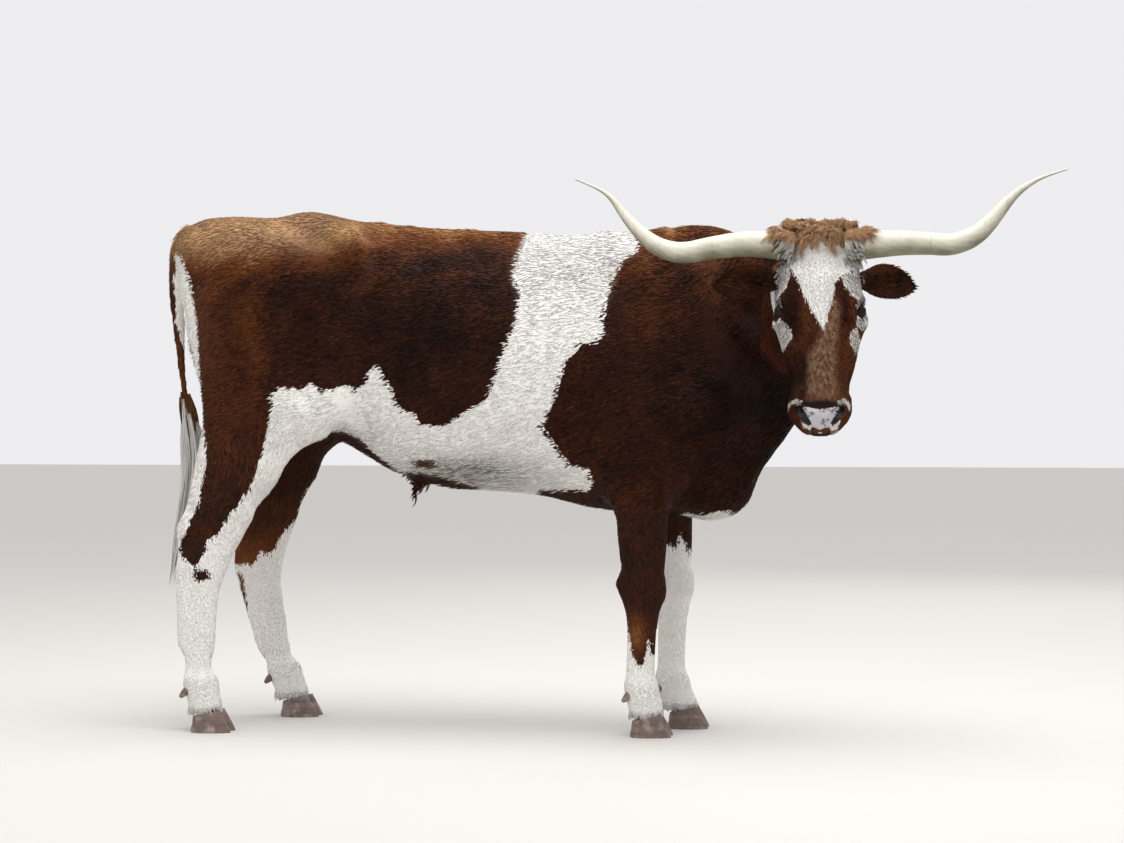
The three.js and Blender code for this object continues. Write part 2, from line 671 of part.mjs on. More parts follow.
// A tube round a closed row of points.
function ringTube(places, radius, sides) {
  const count = places.length;
  const middle = places.reduce((sum, p) => sum.add(p), vec(0, 0, 0)).divideScalar(count);
  const points = [];
  const triangles = [];
  places.forEach((p, i) => {
    const along = places[(i + 1) % count].clone().sub(places[(i + count - 1) % count]).normalize();
    const out = p.clone().sub(middle).addScaledVector(along, -p.clone().sub(middle).dot(along)).normalize();
    const up = along.clone().cross(out);
    for (let k = 0; k < sides; k += 1) {
      const angle = (k / sides) * 2 * Math.PI;
      const onTube = p.clone().addScaledVector(out, radius * Math.cos(angle));
      points.push(onTube.addScaledVector(up, radius * Math.sin(angle)));
      const [a, b] = [i * sides, ((i + 1) % count) * sides];
      const next = (k + 1) % sides;
      triangles.push(a + k, a + next, b + next, a + k, b + next, b + k);
    }
  });
  const made = solidFrom(points, triangles);
  return made.volume() > 0 ? made : solidFrom(points, triangles.reverse());
}
const LID_THICKNESS = 4.2;
function lidRim(side) {
  const frame = eyeFrame(side);
  const radius = EYE.radius + LID_THICKNESS * 0.8;
  const edge = Array.from({ length: LID_STEPS }, (_, i) => lidPoint(frame, i / LID_STEPS, radius));
  return ringTube(edge, LID_THICKNESS, 4);
}

// Nostrils: slanting commas. Mouth: a groove round under the muzzle pad.
const NOSTRIL = { along: 484, across: 43, out: -14, slant: 36, length: 19, width: 8, depth: 22 };
function nostril(side) {
  const s = SIDES[side];
  const shape = new THREE.SphereGeometry(1, 8, 6).scale(NOSTRIL.length, NOSTRIL.width, NOSTRIL.depth);
  shape.rotateZ(degToRad(-s * NOSTRIL.slant)).translate(NOSTRIL.along, s * NOSTRIL.across, NOSTRIL.out);
  return solidOf(shape.applyMatrix4(headFrame));
}

const MOUTH = [
  // along, across, out
  [398, 70, -92],
  [430, 70, -90],
  [462, 64, -88],
  [490, 50, -86],
  [508, 28, -84],
  [514, 0, -83],
];
function mouthLine() {
  const half = MOUTH.map(([along, across, out]) => onHead(along, across, out));
  const other = MOUTH.slice(0, -1).map(([along, across, out]) => onHead(along, -across, out));
  const path = new THREE.CatmullRomCurve3([...half, ...other.reverse()].map((p) => settle(p, 40)));
  return taper(path, 18, 5, (t) => lerp(1.4, 3.6, Math.min(1, 8 * Math.min(t, 1 - t))));
}

// Long hair. A lock is a flat strand, widest near its middle, that bends along its points to a thin tip.
function randomFrom(seed) {
  let state = seed;
  return (low, high) => {
    state = (state + 0x6d2b79f5) | 0;
    let t = Math.imul(state ^ (state >>> 15), 1 | state);
    t = (t + Math.imul(t ^ (t >>> 7), 61 | t)) ^ t;
    return lerp(low, high, ((t ^ (t >>> 14)) >>> 0) / 2 ** 32);
  };
}

const LOCK_STEPS = 4;
const lockShare = table([[0, 0.75], [0.4, 1], [0.75, 0.66], [1, 0.14]]); // width along a lock
function lock(points, width, thickness, across) {
  const path = new THREE.CatmullRomCurve3(points);
  const rings = framesAlong(path, LOCK_STEPS, across).map((f) => {
    const [share] = lockShare(f.t);
    const halves = [(width / 2) * share, (thickness / 2) * Math.max(share, 0.4)];
    const corner = (a, b) => {
      const p = f.at.clone().addScaledVector(f.across, a * halves[0]);
      return p.addScaledVector(f.other, b * halves[1]);
    };
    return [corner(1, 0), corner(0, 1), corner(-1, 0), corner(0, -1)];
  });
  return loft(rings);
}

// Tail: a tapering dock down behind the buttocks, then the switch of long hair.
const TAIL_PATH = [
  [-776, 0, 1362],
  [-802, 0, 1345],
  [-822, 0, 1290],
  [-826, -2, 1200],
  [-818, -4, 1090],
  [-806, -6, 960],
  [-797, -6, 860],
  [-795, -6, 790],
];
const TAIL_RADII = [30, 13];
const dock = (grow = 0) => {
  const path = new THREE.CatmullRomCurve3(TAIL_PATH.map((p) => vec(...p)));
  return taper(path, 14, 10, (t) => lerp(...TAIL_RADII, Math.min(1, t * 1.25)), grow);
};
const SWITCH_PATH = [
  [-795, -6, 800],
  [-797, -6, 740],
  [-808, -4, 650],
  [-822, -2, 560],
  [-834, 0, 460],
  [-842, 0, 345],
];
const SWITCH = { locks: 11, coreEnd: 0.4, width: [26, 34], thickness: 7 };
const switchSpread = table([[0, 14], [0.15, 24], [0.4, 32], [0.7, 24], [1, 7]]); // how far the hair stands out
const GOLDEN_TURN = 2.4;
function tailSwitch() {
  const path = new THREE.CatmullRomCurve3(SWITCH_PATH.map((p) => vec(...p)));
  const core = new THREE.CatmullRomCurve3([0, 0.15, 0.3, SWITCH.coreEnd].map((t) => path.getPointAt(t)));
  let hair = taper(core, 3, 8, (t) => lerp(TAIL_RADII[1], 4, t));
  const random = randomFrom(5);
  for (let i = 0; i < SWITCH.locks; i += 1) {
    const start = lerp(0.03, SWITCH.coreEnd - 0.06, i / (SWITCH.locks - 1));
    const end = Math.min(1, start + random(0.42, 0.6));
    const turn = i * GOLDEN_TURN + random(-0.3, 0.3);
    const outward = vec(Math.cos(turn), Math.sin(turn), 0);
    const at = (share, spread) => {
      const t = lerp(start, end, share);
      return path.getPointAt(t).addScaledVector(outward, switchSpread(t)[0] * spread);
    };
    const points = [at(0, 0.15), at(0.25, 0.7), at(0.6, random(0.75, 1)), at(1, random(0.4, 0.9))];
    const across = vec(-outward.y, outward.x, 0);
    hair = hair.add(lock(points, random(...SWITCH.width), SWITCH.thickness, across));
  }
  return hair;
}

// Hooves: two claws a foot, each flat on the ground, cut level with the coronet that slopes down to the heel.
const HOOF_MIDDLE = { hind: -668, fore: 512 };
const footPlace = (kind, side) => {
  const leg = LEG_PLACES[kind][side];
  return vec(HOOF_MIDDLE[kind] + leg.step(0)[0], leg.y(0)[0], 0);
};
const coronetSlope = (HOOF.toeHeight - HOOF.heelHeight) / HOOF.length;
const CORONET = vec(-coronetSlope, 0, 1);
const coronetPoint = (foot) => {
  const front = foot.x + HOOF.length / 2 - HOOF.lean;
  return vec(front, foot.y, HOOF.toeHeight - coronetSlope * HOOF.lean);
};

function claw(foot, s) {
  const sides = 10;
  const rings = [0, 0.08, 0.5, 1].map((rise) => {
    const swell = rise === 0 ? 0.95 : lerp(1, 0.86, rise);
    return Array.from({ length: sides }, (_, i) => {
      const angle = (i / sides) * 2 * Math.PI;
      const bend = Math.cos(angle);
      const x = foot.x + (HOOF.length / 2) * swell * bend - HOOF.lean * rise * (0.5 + 0.5 * bend);
      const round = Math.sign(Math.sin(angle)) * Math.abs(Math.sin(angle)) ** 0.8;
      const across = (HOOF.width / 2) * swell * round * (1 - 0.22 * bend);
      const inward = rise * 2;
      const y = foot.y + s * ((HOOF.width + HOOF.cleft) / 2 - inward) + across;
      const top = HOOF.heelHeight + coronetSlope * (x - foot.x + HOOF.length / 2);
      return vec(x, y, rise * top);
    });
  });
  const whole = loft(rings);
  const inner = s > 0 ? foot.y + HOOF.cleft / 2 : foot.y - HOOF.cleft / 2;
  const parted = keepBeyond(whole, vec(0, s, 0), vec(0, inner - (s * GAP) / 2, 0));
  return keepBeyond(parted, CORONET.clone().negate(), coronetPoint(foot));
}

// Dewclaws: two blunt horny tips behind each fetlock.
const DEWCLAW = { back: 50, across: 24, height: 104, radius: 13, length: 30 };
function dewclaw(kind, side, s, grow = 0) {
  const leg = LEG_PLACES[kind][side];
  const fetlock = { hind: -706, fore: 484 }[kind];
  const x = fetlock + leg.step(DEWCLAW.height)[0] - DEWCLAW.back + 16;
  const root = vec(x, leg.y(120)[0] + s * DEWCLAW.across, DEWCLAW.height + 8);
  const tip = root.clone().add(vec(-DEWCLAW.length * 0.72, s * 3, -DEWCLAW.length * 0.7));
  const path = new THREE.LineCurve3(root, tip);
  return taper(path, 3, 7, (t) => DEWCLAW.radius * (1 - 0.62 * t * t), grow);
}

// Forelock: rows of locks that fan out from the poll, the first down the forehead, the last up and sideways.
const FORELOCK_ROWS = [
  // along and half spread of the roots, way of the middle lock, change to each side, length, lift
  { count: 6, along: 2, spread: 50, way: 0, fan: 10, length: 60, lift: 15 },
  { count: 5, along: -8, spread: 58, way: 0, fan: 34, length: 56, lift: 28 },
  { count: 5, along: -18, spread: 48, way: 0, fan: 56, length: 56, lift: 42 },
  { count: 8, along: -14, spread: 64, way: 188, fan: -80, length: 56, lift: 30 },
];
const FORELOCK = { width: [27, 35], thickness: 8, rise: 0.45, root: 20 };
function forelock() {
  const random = randomFrom(23);
  const strands = [];
  for (const { count, along, spread, way, fan, length, lift } of FORELOCK_ROWS) {
    for (let i = 0; i < count; i += 1) {
      const u = (2 * i) / (count - 1) - 1;
      const turn = degToRad(way + fan * u + random(-9, 9));
      const reach = length * random(0.86, 1.12);
      const rise = way ? FORELOCK.rise : 1;
      const root = vec(along, u * spread + random(-3, 3), -3 - 9 * u * u);
      const at = (share, out) => {
        const [down, side] = [Math.cos(turn) * rise, Math.sin(turn)].map((part) => part * reach * share);
        return onHead(root.x + down, root.y + side, root.z + out);
      };
      const tip = at(1, 4 + lift * random(0.3, 0.7));
      const points = [at(0, -FORELOCK.root), at(0.14, 12), at(0.55, 8 + lift), tip];
      const across = headWay(-Math.sin(turn), Math.cos(turn), 0);
      strands.push(lock(points, random(...FORELOCK.width), FORELOCK.thickness, across));
    }
  }
  return strands;
}

// Sheath: a short fold of skin under the belly, with a tuft of hair.
const SHEATH_PATH = [[-116, 0, 690], [-140, 0, 662], [-156, 0, 640]];
const SHEATH_RADII = [30, 15];
const SHEATH_LOCKS = [
  // root's place round the fold, lean back, sideways, length, width
  { turn: 0.3, back: 22, side: 2, length: 50, width: 15 },
  { turn: 2.2, back: 6, side: 10, length: 30, width: 14 },
  { turn: 4.2, back: -8, side: -8, length: 26, width: 14 },
];
const sheathSkin = (grow = 0) => {
  const path = new THREE.CatmullRomCurve3(SHEATH_PATH.map((p) => vec(...p)));
  return taper(path, 4, 8, (t) => lerp(...SHEATH_RADII, t), grow);
};
function sheath() {
  const end = vec(...SHEATH_PATH.at(-1));
  return SHEATH_LOCKS.reduce((solid, { turn, back, side, length, width }) => {
    const root = end.clone().add(vec(7 * Math.cos(turn), 7 * Math.sin(turn), 8));
    const at = (share) => root.clone().add(vec(-back * share * share, side * share, -(length + 8) * share));
    return solid.add(lock([0, 0.35, 0.7, 1].map(at), width, 6, vec(0, 1, 0)));
  }, sheathSkin());
}

// The room under the haunch or shoulder that belongs to a leg. It leaves belly and brisket to the trunk.
const LEG_GRIDS = {
  hind: { x: [-830, -306], inner: 74, outer: 290, top: TOP_OF_HIND_LEG, joint: HOCK_CUT },
  fore: { x: [352, 648], inner: 58, outer: 250, top: TOP_OF_FORE_LEG, joint: KNEE_CUT },
};
function legRoom(kind, side, grow) {
  const s = SIDES[side];
  const { x, inner, top } = LEG_GRIDS[kind];
  const low = Math.min(s * (inner - grow), s * 400);
  const high = Math.max(s * (inner - grow), s * 400);
  return block(vec(x[0] - 100, low, -100), vec(x[1] + grow, high, top + grow));
}

// Trunk, with the haunches and shoulders.
const body = netSolid(
  spaced(-850, [-240, 55], [340, 88], [860, 58]),
  spaced(-330, [330, 60]),
  spaced(536, [1440, 60]),
);
let torso = keepBeyond(body, NECK_CUT.normal.clone().negate(), NECK_CUT.point);
torso = torso.subtract(dock(GAP)).subtract(sheathSkin(GAP));
for (const kind of ["hind", "fore"]) {
  for (const side of ["right", "left"]) torso = torso.subtract(legRoom(kind, side, GAP / 2));
}
addNode("torso", torso, RED_COAT);
addNode("sheath", sheath(), RED_COAT);
addNode("tail_dock", keepBeyond(dock(), UP, level(TAIL_PATH.at(-1)[2])), RED_COAT);
addNode("tail_switch", keepBeyond(tailSwitch(), DOWN, level(TAIL_PATH.at(-1)[2])), WHITE_COAT);

// Neck.
const neckNet = netSolid(spaced(500, [1120, 50]), spaced(-540, [330, 50]), spaced(530, [1420, 54]));
const neckSolid = keepBeyond(neckNet, NECK_CUT.normal, NECK_CUT.point).subtract(headSide(-1));
addNode("neck", neckSolid.subtract(ear("right", GAP)).subtract(ear("left", GAP)), RED_COAT);

// Head.
const headNet = netSolid(
  spaced(-110, [150, 29], [262, 18], [400, 29], [560, 17]),
  spaced(-152, [152, 21]),
  spaced(-310, [-110, 30], [50, 19]),
  headFrame,
);
let headSolid = headNet.intersect(headSide(1));
for (const side of ["right", "left"]) {
  headSolid = headSolid.subtract(lidOpening(side)).add(lidRim(side));
  headSolid = headSolid.subtract(eyeball(side, GAP)).subtract(nostril(side));
  headSolid = headSolid.subtract(ear(side, GAP));
}
headSolid = forelock().reduce((solid, strand) => solid.add(strand), headSolid.subtract(mouthLine()));
for (const side of ["right", "left"]) headSolid = headSolid.subtract(horn(side, GAP));
addNode("head", headSolid, RED_COAT);
for (const side of ["right", "left"]) {
  addNode(`horn_${side}`, horn(side), hornFinish);
  addNode(`ear_${side}`, ear(side), RED_COAT);
  addNode(`eye_${side}`, eyeball(side), eyeFinish);
}

// Legs, each in two lengths on a foot of two claws and two dewclaws.
function addLeg(kind, side) {
  const s = SIDES[side];
  const { x, inner, outer, top, joint } = LEG_GRIDS[kind];
  const across = [s * (inner - 50), s * outer].sort((a, b) => a - b);
  const foot = footPlace(kind, side);
  const upperHeights = spaced(joint - 60, [top + 80, 44]);
  const upper = netSolid(spaced(x[0], [x[1] + 60, 40]), spaced(across[0], [across[1], 34]), upperHeights);
  const lowerHeights = spaced(4, [176, 30], [320, 70], [joint + 50, 40]);
  const lower = netSolid(spaced(x[0], [x[1] + 60, 33]), spaced(across[0], [across[1], 28]), lowerHeights);
  let shank = keepBeyond(keepBeyond(lower, DOWN, level(joint)), CORONET, coronetPoint(foot));
  for (const [name, t] of [["outer", s], ["inner", -s]]) {
    shank = shank.subtract(dewclaw(kind, side, t, GAP));
    addNode(`dewclaw_${kind}_${side}_${name}`, dewclaw(kind, side, t), hoofFinish);
    addNode(`hoof_${kind}_${side}_${name}`, claw(foot, t), hoofFinish);
  }
  const thigh = keepBeyond(upper.intersect(legRoom(kind, side, -GAP / 2)), UP, level(joint));
  addNode(`${kind}leg_${side}_upper`, thigh, RED_COAT);
  addNode(`${kind}leg_${side}_lower`, shank, WHITE_COAT);
}
for (const kind of ["hind", "fore"]) {
  for (const side of ["right", "left"]) addLeg(kind, side);
}

const bounds = new THREE.Box3().setFromObject(steer);
const middle = bounds.getCenter(vec(0, 0, 0));
steer.position.set(-middle.x, -middle.y, 0);

export default steer;
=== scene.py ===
# %% [markdown]
# # A longhorn steer, life size, from measured solids to a coated animal
# The solids were measured first: they have the true outline and size, but they are faceted and parted at the
# neck, ears, tail and legs. Here one skin is drawn over them, then eyes, horns, claws and a coat of solid tufts
# are added. Everything is in metres, X towards the steer's chest, Y to its left, Z up.

import json
import math

import bpy
import numpy as np
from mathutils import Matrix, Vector
from mathutils.bvhtree import BVHTree

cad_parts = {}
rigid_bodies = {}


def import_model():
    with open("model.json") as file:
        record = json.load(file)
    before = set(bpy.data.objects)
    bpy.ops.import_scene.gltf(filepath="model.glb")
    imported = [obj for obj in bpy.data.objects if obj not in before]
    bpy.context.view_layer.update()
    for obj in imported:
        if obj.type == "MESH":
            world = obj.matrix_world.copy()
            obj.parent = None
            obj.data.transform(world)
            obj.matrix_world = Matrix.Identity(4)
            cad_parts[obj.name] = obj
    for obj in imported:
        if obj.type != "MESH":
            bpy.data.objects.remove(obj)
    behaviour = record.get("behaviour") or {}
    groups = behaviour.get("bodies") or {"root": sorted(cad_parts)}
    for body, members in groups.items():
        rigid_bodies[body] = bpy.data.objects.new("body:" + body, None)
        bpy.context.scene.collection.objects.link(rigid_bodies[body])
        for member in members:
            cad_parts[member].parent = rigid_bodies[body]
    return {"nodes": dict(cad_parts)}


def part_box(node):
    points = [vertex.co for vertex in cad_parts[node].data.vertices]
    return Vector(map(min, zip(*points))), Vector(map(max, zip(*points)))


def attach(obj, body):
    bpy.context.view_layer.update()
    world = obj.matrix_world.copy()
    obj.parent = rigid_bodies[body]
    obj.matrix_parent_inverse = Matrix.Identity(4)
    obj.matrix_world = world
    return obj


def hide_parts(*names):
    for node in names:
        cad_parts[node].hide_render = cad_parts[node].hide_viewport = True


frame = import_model()
solids = frame["nodes"]
scene = bpy.context.scene
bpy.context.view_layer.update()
MM = 0.001  # a millimetre in metres

# %% [markdown]
# ## Camera and light
# The steer was photographed side on from about seven metres, a little towards its tail, from chest height, with
# a lens of about 83 mm on a 36 mm sensor. The light is a soft sky, so the studio has one large soft box overhead
# and a weaker one in front, and the tops of the back and hips catch the most light.

# %% Camera
bpy.ops.object.camera_add(location=(0.8675, -6.8229, 0.878), rotation=(math.radians(89.635), 0, math.radians(8)))
camera = bpy.context.object
camera.data.lens = 82.9
camera.data.sensor_width = 36
scene.camera = camera

# %% Soft boxes, floor and pale surroundings
def soft_box(name, place, target, size, watts):
    """A square lamp of this many metres, turned towards the target."""
    bpy.ops.object.light_add(type="AREA", location=place)
    lamp = bpy.context.object
    lamp.name = name
    lamp.data.size = size
    lamp.data.energy = watts
    lamp.rotation_euler = (Vector(target) - Vector(place)).to_track_quat("-Z", "Y").to_euler()

soft_box("light_overhead", (0.2, -0.4, 4.4), (0, 0.1, 0.9), 3.4, 150)
soft_box("light_front", (-2.4, -6.0, 3.0), (0.2, 0, 0.9), 3.0, 26)
soft_box("light_behind", (1.5, 5.5, 3.4), (0.2, 0, 0.9), 3.0, 45)

def linear(hex_colour):
    """A colour written as sRGB hex, in the linear light that the shaders work in."""
    parts = [int(hex_colour[i:i + 2], 16) / 255 for i in (1, 3, 5)]
    return tuple(c / 12.92 if c <= 0.04045 else ((c + 0.055) / 1.055) ** 2.4 for c in parts) + (1.0,)

def add(tree, kind, inputs=None, **settings):
    """One node with its settings. Each input is set to a value, or linked to a socket or to a node's result."""
    node = tree.nodes.new("ShaderNode" + kind)
    for name, value in settings.items():
        setattr(node, name, value)
    for name, value in (inputs or {}).items():
        if isinstance(value, bpy.types.Node):
            value = next(socket for socket in value.outputs if socket.enabled)
        if isinstance(value, bpy.types.NodeSocket):
            tree.links.new(value, node.inputs[name])
        else:
            node.inputs[name].default_value = value
    return node

def new_material(name):
    """An empty material and its node tree."""
    material = bpy.data.materials.new(name)
    material.use_nodes = True
    material.node_tree.nodes.clear()
    return material, material.node_tree

world = bpy.data.worlds.new("pale_room")
world.use_nodes = True
world.node_tree.nodes["Background"].inputs["Color"].default_value = linear("#f2f2f4")
world.node_tree.nodes["Background"].inputs["Strength"].default_value = 0.96
scene.world = world

bpy.ops.mesh.primitive_plane_add(size=60, location=(0, 0, 0))
floor = bpy.context.object
floor.name = "floor"
# Matt emulsion paint is a chalky resin film, rolled on. It scatters the light and shows no lamp in it: IOR 1.5 and
# roughness 0.8. A roller leaves a stipple about 2 mm wide, drawn at 25 mm so that it shows at this distance.
paint, tree = new_material("matt_white_floor_paint")
place = add(tree, "TexCoord").outputs["Object"]
stipple = add(tree, "TexNoise", {"Vector": place, "Scale": 40.0, "Detail": 3.0})
bump = add(tree, "Bump", {"Strength": 0.03, "Distance": 0.002, "Height": stipple})
matt = add(tree, "BsdfPrincipled", {"Base Color": linear("#d6d3cd"), "Roughness": 0.8, "Normal": bump})
add(tree, "OutputMaterial", {"Surface": matt})
floor.data.materials.append(paint)
scene.view_settings.view_transform = "Standard"

# %% [markdown]
# ## The head's own directions
# The head is turned to the camera and hangs a little, so places on it are given in the head's own directions:
# along the face from the poll to the nose, across it to the steer's left, and out of the forehead. The middle of
# the two eyes, which the solids give, fixes where it is.

# %% Head directions
ALONG = Vector((0.01307, -0.37438, -0.92718))
ACROSS = Vector((0.99939, 0.0349, 0.0))
OUT = Vector((0.03236, -0.92661, 0.37461))

def middle_of(name):
    """The middle of a solid's box."""
    low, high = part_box(name)
    return (low + high) / 2

# the poll is 207 mm up the face from between the eyes, and 30 mm further out
POLL = (middle_of("eye_right") + middle_of("eye_left")) / 2 - 0.207 * ALONG + 0.030 * OUT
HEAD_AXES = np.array([ALONG, ACROSS, OUT])
POLL_PLACE = np.array(POLL)
MIDDLE_Y = POLL.y + 0.368  # the plane that halves the body

def on_head(along, across, out):
    """A place on the head, from millimetres along, across and out of the face."""
    return POLL + (along * ALONG + across * ACROSS + out * OUT) * MM

def head_places(points):
    """Points of the row's frame as millimetres along, across and out of the face."""
    return (points - POLL_PLACE) @ HEAD_AXES.T / MM

print("poll at", [round(v, 3) for v in POLL], "middle plane y =", round(MIDDLE_Y, 3))

# %% [markdown]
# ## A smooth form through the measured points
# The flesh solids are copied and joined. Their corners lie on the real surface, but their faces are flat, and a
# subdivision surface would pull in from the corners. So the corners are first pushed out by as much as the
# smooth surface falls short of them. The rims where the solids are parted are creased, so that no groove opens.

# %% Copies of the flesh solids
LEG_NAMES = [
    f"{leg}_{side}_{part}"
    for leg in ("foreleg", "hindleg") for side in ("right", "left") for part in ("upper", "lower")]
FLESH = ["torso", "sheath", "tail_dock", "neck", "head", "ear_right", "ear_left"] + LEG_NAMES
EYES = ["eye_right", "eye_left"]
SAME_PLACE = 0.02 * MM

def pick(*chosen):
    """Selects these objects and nothing else, as a click would."""
    bpy.ops.object.select_all(action="DESELECT")
    for obj in chosen:
        obj.select_set(True)
    bpy.context.view_layer.objects.active = chosen[0]

def edit(obj, mode="VERT"):
    """Opens one object in edit mode with nothing selected."""
    pick(obj)
    bpy.ops.object.mode_set(mode="EDIT")
    bpy.ops.mesh.select_mode(type=mode)
    bpy.ops.mesh.select_all(action="DESELECT")

def leave():
    bpy.ops.object.mode_set(mode="OBJECT")

def finish_with(obj, kind, **settings):
    """Adds a modifier and applies it."""
    pick(obj)
    modifier = obj.modifiers.new(kind.title(), kind)
    for name, value in settings.items():
        setattr(modifier, name, value)
    bpy.ops.object.modifier_apply(modifier=modifier.name)

def twin(obj, name):
    """A copy of an object, with a mesh of its own."""
    copy = obj.copy()
    copy.data = obj.data.copy()
    copy.name = copy.data.name = name
    scene.collection.objects.link(copy)
    return copy

def copies_of(names, joined_name):
    """Copies of CAD solids, joined and merged. The attribute solid tells which one each corner came from."""
    made = []
    for number, name in enumerate(names):
        copy = twin(solids[name], name + "_copy")
        copy.parent = None
        copy.hide_render = copy.hide_viewport = False
        for key in list(copy.keys()):
            del copy[key]
        solid = copy.data.attributes.new("solid", "INT", "POINT")
        solid.data.foreach_set("value", np.full(len(copy.data.vertices), number, np.int32))
        made.append(copy)
    pick(*made)
    if len(made) > 1:
        bpy.ops.object.join()
    joined = bpy.context.object
    joined.name = joined.data.name = joined_name
    edit(joined)
    bpy.ops.mesh.select_all(action="SELECT")
    bpy.ops.mesh.remove_doubles(threshold=SAME_PLACE)
    leave()
    joined.data.materials.clear()
    return joined

def read(items, field, width=1, kind=float):
    """One field of all points, edges or faces of a mesh, as an array."""
    values = np.empty(len(items) * width, kind)
    items.foreach_get(field, values)
    return values.reshape(-1, width) if width > 1 else values

def corners(obj):
    return read(obj.data.vertices, "co", 3)

def place_corners(obj, points):
    obj.data.vertices.foreach_set("co", np.ascontiguousarray(points, np.float32).ravel())
    obj.data.update()

def shade_smooth(mesh):
    mesh.polygons.foreach_set("use_smooth", np.ones(len(mesh.polygons), bool))

LONGEST_PUSH = 6 * MM

def smooth_through(obj, levels, sharp=50, push=0.85):
    """Subdivides so that the smooth surface passes through the corners. Edges over sharp degrees are creased."""
    edit(obj, "EDGE")
    bpy.ops.mesh.edges_select_sharp(sharpness=math.radians(sharp))
    bpy.ops.transform.edge_crease(value=1.0)
    leave()
    measured = corners(obj)
    pushed = measured.copy()
    for _ in range(3):
        place_corners(obj, pushed)
        trial = twin(obj, "trial")
        finish_with(trial, "SUBSURF", levels=2, render_levels=2)
        fallen = measured - corners(trial)[:len(measured)]
        pushed += np.clip(push * fallen, -LONGEST_PUSH, LONGEST_PUSH)
        bpy.data.meshes.remove(trial.data)
    place_corners(obj, pushed)
    finish_with(obj, "SUBSURF", levels=levels, render_levels=levels)
    print(obj.name, "misses its corners by", round(float(np.abs(fallen).max()) / MM, 2), "mm at most")

form = copies_of(FLESH + EYES, "smooth_form")
smooth_through(form, 2)
print("form:", len(form.data.polygons), "faces")

# %% [markdown]
# ## One skin over all of it
# A real hide has no seams, so the form is remeshed into one closed surface of small even squares, which closes
# the gaps between the solids. The squares are coarser than an eyelid, so those on the head are divided again and
# everything is drawn back onto the form.

# %% Remesh all but the ears, whose thin cups the squares would tear
EAR_NUMBERS = [FLESH.index("ear_right"), FLESH.index("ear_left")]

def part_of_form(numbers, keep_them, name):
    """A copy of the form with only these solids' points, or with all but these."""
    part = twin(form, name)
    came_from = read(form.data.attributes["solid"].data, "value", kind=np.int32)
    edit(part)
    leave()
    part.data.vertices.foreach_set("select", np.isin(came_from, numbers) != keep_them)
    pick(part)
    bpy.ops.object.mode_set(mode="EDIT")
    bpy.ops.mesh.delete(type="VERT")
    leave()
    return part

no_ears = part_of_form(EAR_NUMBERS, False, "form_without_ears")
skin = twin(no_ears, "skin")
finish_with(skin, "REMESH", mode="VOXEL", voxel_size=10.4 * MM, adaptivity=0.0)
print("remeshed:", len(skin.data.polygons), "faces")

# %% Divide the head, draw the skin onto the form, and add the ears
def face_middles(obj):
    return read(obj.data.polygons, "center", 3)

def divide(obj, chosen):
    """Subdivides the chosen faces once."""
    edit(obj, "FACE")
    leave()
    obj.data.polygons.foreach_set("select", chosen)
    pick(obj)
    bpy.ops.object.mode_set(mode="EDIT")
    bpy.ops.mesh.subdivide(number_cuts=1)
    leave()

def near_head(points):
    """On the head, its brow and its throat."""
    a, c, o = head_places(points).T
    return (a > -70) & (a < 560) & (np.abs(c) < 150) & (o > -190 - 0.1 * a) & (o < 80)

EYE_PLACES = np.array([middle_of("eye_right"), middle_of("eye_left")])
def near_features(points):
    """Round the eyes, and on the muzzle."""
    a, c, o = head_places(points).T
    eyes = (np.linalg.norm(points[:, None] - EYE_PLACES, axis=2) < 0.045).any(1)
    return eyes | ((a > 430) & (a < 560) & (o > -120) & (np.abs(c) < 110))

divide(skin, near_head(face_middles(skin)))
divide(skin, near_features(face_middles(skin)))
finish_with(skin, "SHRINKWRAP", target=no_ears, wrap_method="NEAREST_SURFACEPOINT")
ears = part_of_form(EAR_NUMBERS, True, "ears")
if "solid" in skin.data.attributes:
    skin.data.attributes.remove(skin.data.attributes["solid"])
ears.data.attributes.remove(ears.data.attributes["solid"])
EAR_SIZE = 0.93  # leaves room for the hair on the ears
ear_points = corners(ears)
for side in (-1, 1):
    ear_root = np.array(on_head(104, side * 84, -70))
    mine = (ear_points - POLL_PLACE) @ np.array(ACROSS) * side > 0
    ear_points[mine] = ear_root + EAR_SIZE * (ear_points[mine] - ear_root)
place_corners(ears, ear_points)
pick(skin, ears)
bpy.ops.object.join()
bpy.data.objects.remove(no_ears)
print("skin:", len(skin.data.polygons), "faces,", len(skin.data.vertices), "points")

# %% Which solid each point of the skin came from, and the skin's edges
def labels_on(points):
    """The number in FLESH of the solid that is nearest to each point, and for an eye that of the head."""
    tree = BVHTree.FromObject(form, bpy.context.evaluated_depsgraph_get())
    values = read(form.data.attributes["solid"].data, "value", kind=np.int32)
    first = np.array([p.vertices[0] for p in form.data.polygons])
    found = np.array([tree.find_nearest(Vector(p))[2] for p in points])
    labels = values[first[found]]
    labels[labels >= len(FLESH)] = FLESH.index("head")
    return labels

points = corners(skin)
label = labels_on(points)
edges = read(skin.data.edges, "vertices", 2, np.int32)
neighbours = np.bincount(edges.ravel(), minlength=len(points)).astype(float)

def sum_of_neighbours(values, edges):
    """For each point, the sum of a table's rows over the points that its edges lead to."""
    first, second = edges.T
    return np.stack([
        np.bincount(first, column[second], len(values)) + np.bincount(second, column[first], len(values))
        for column in values.T], 1)

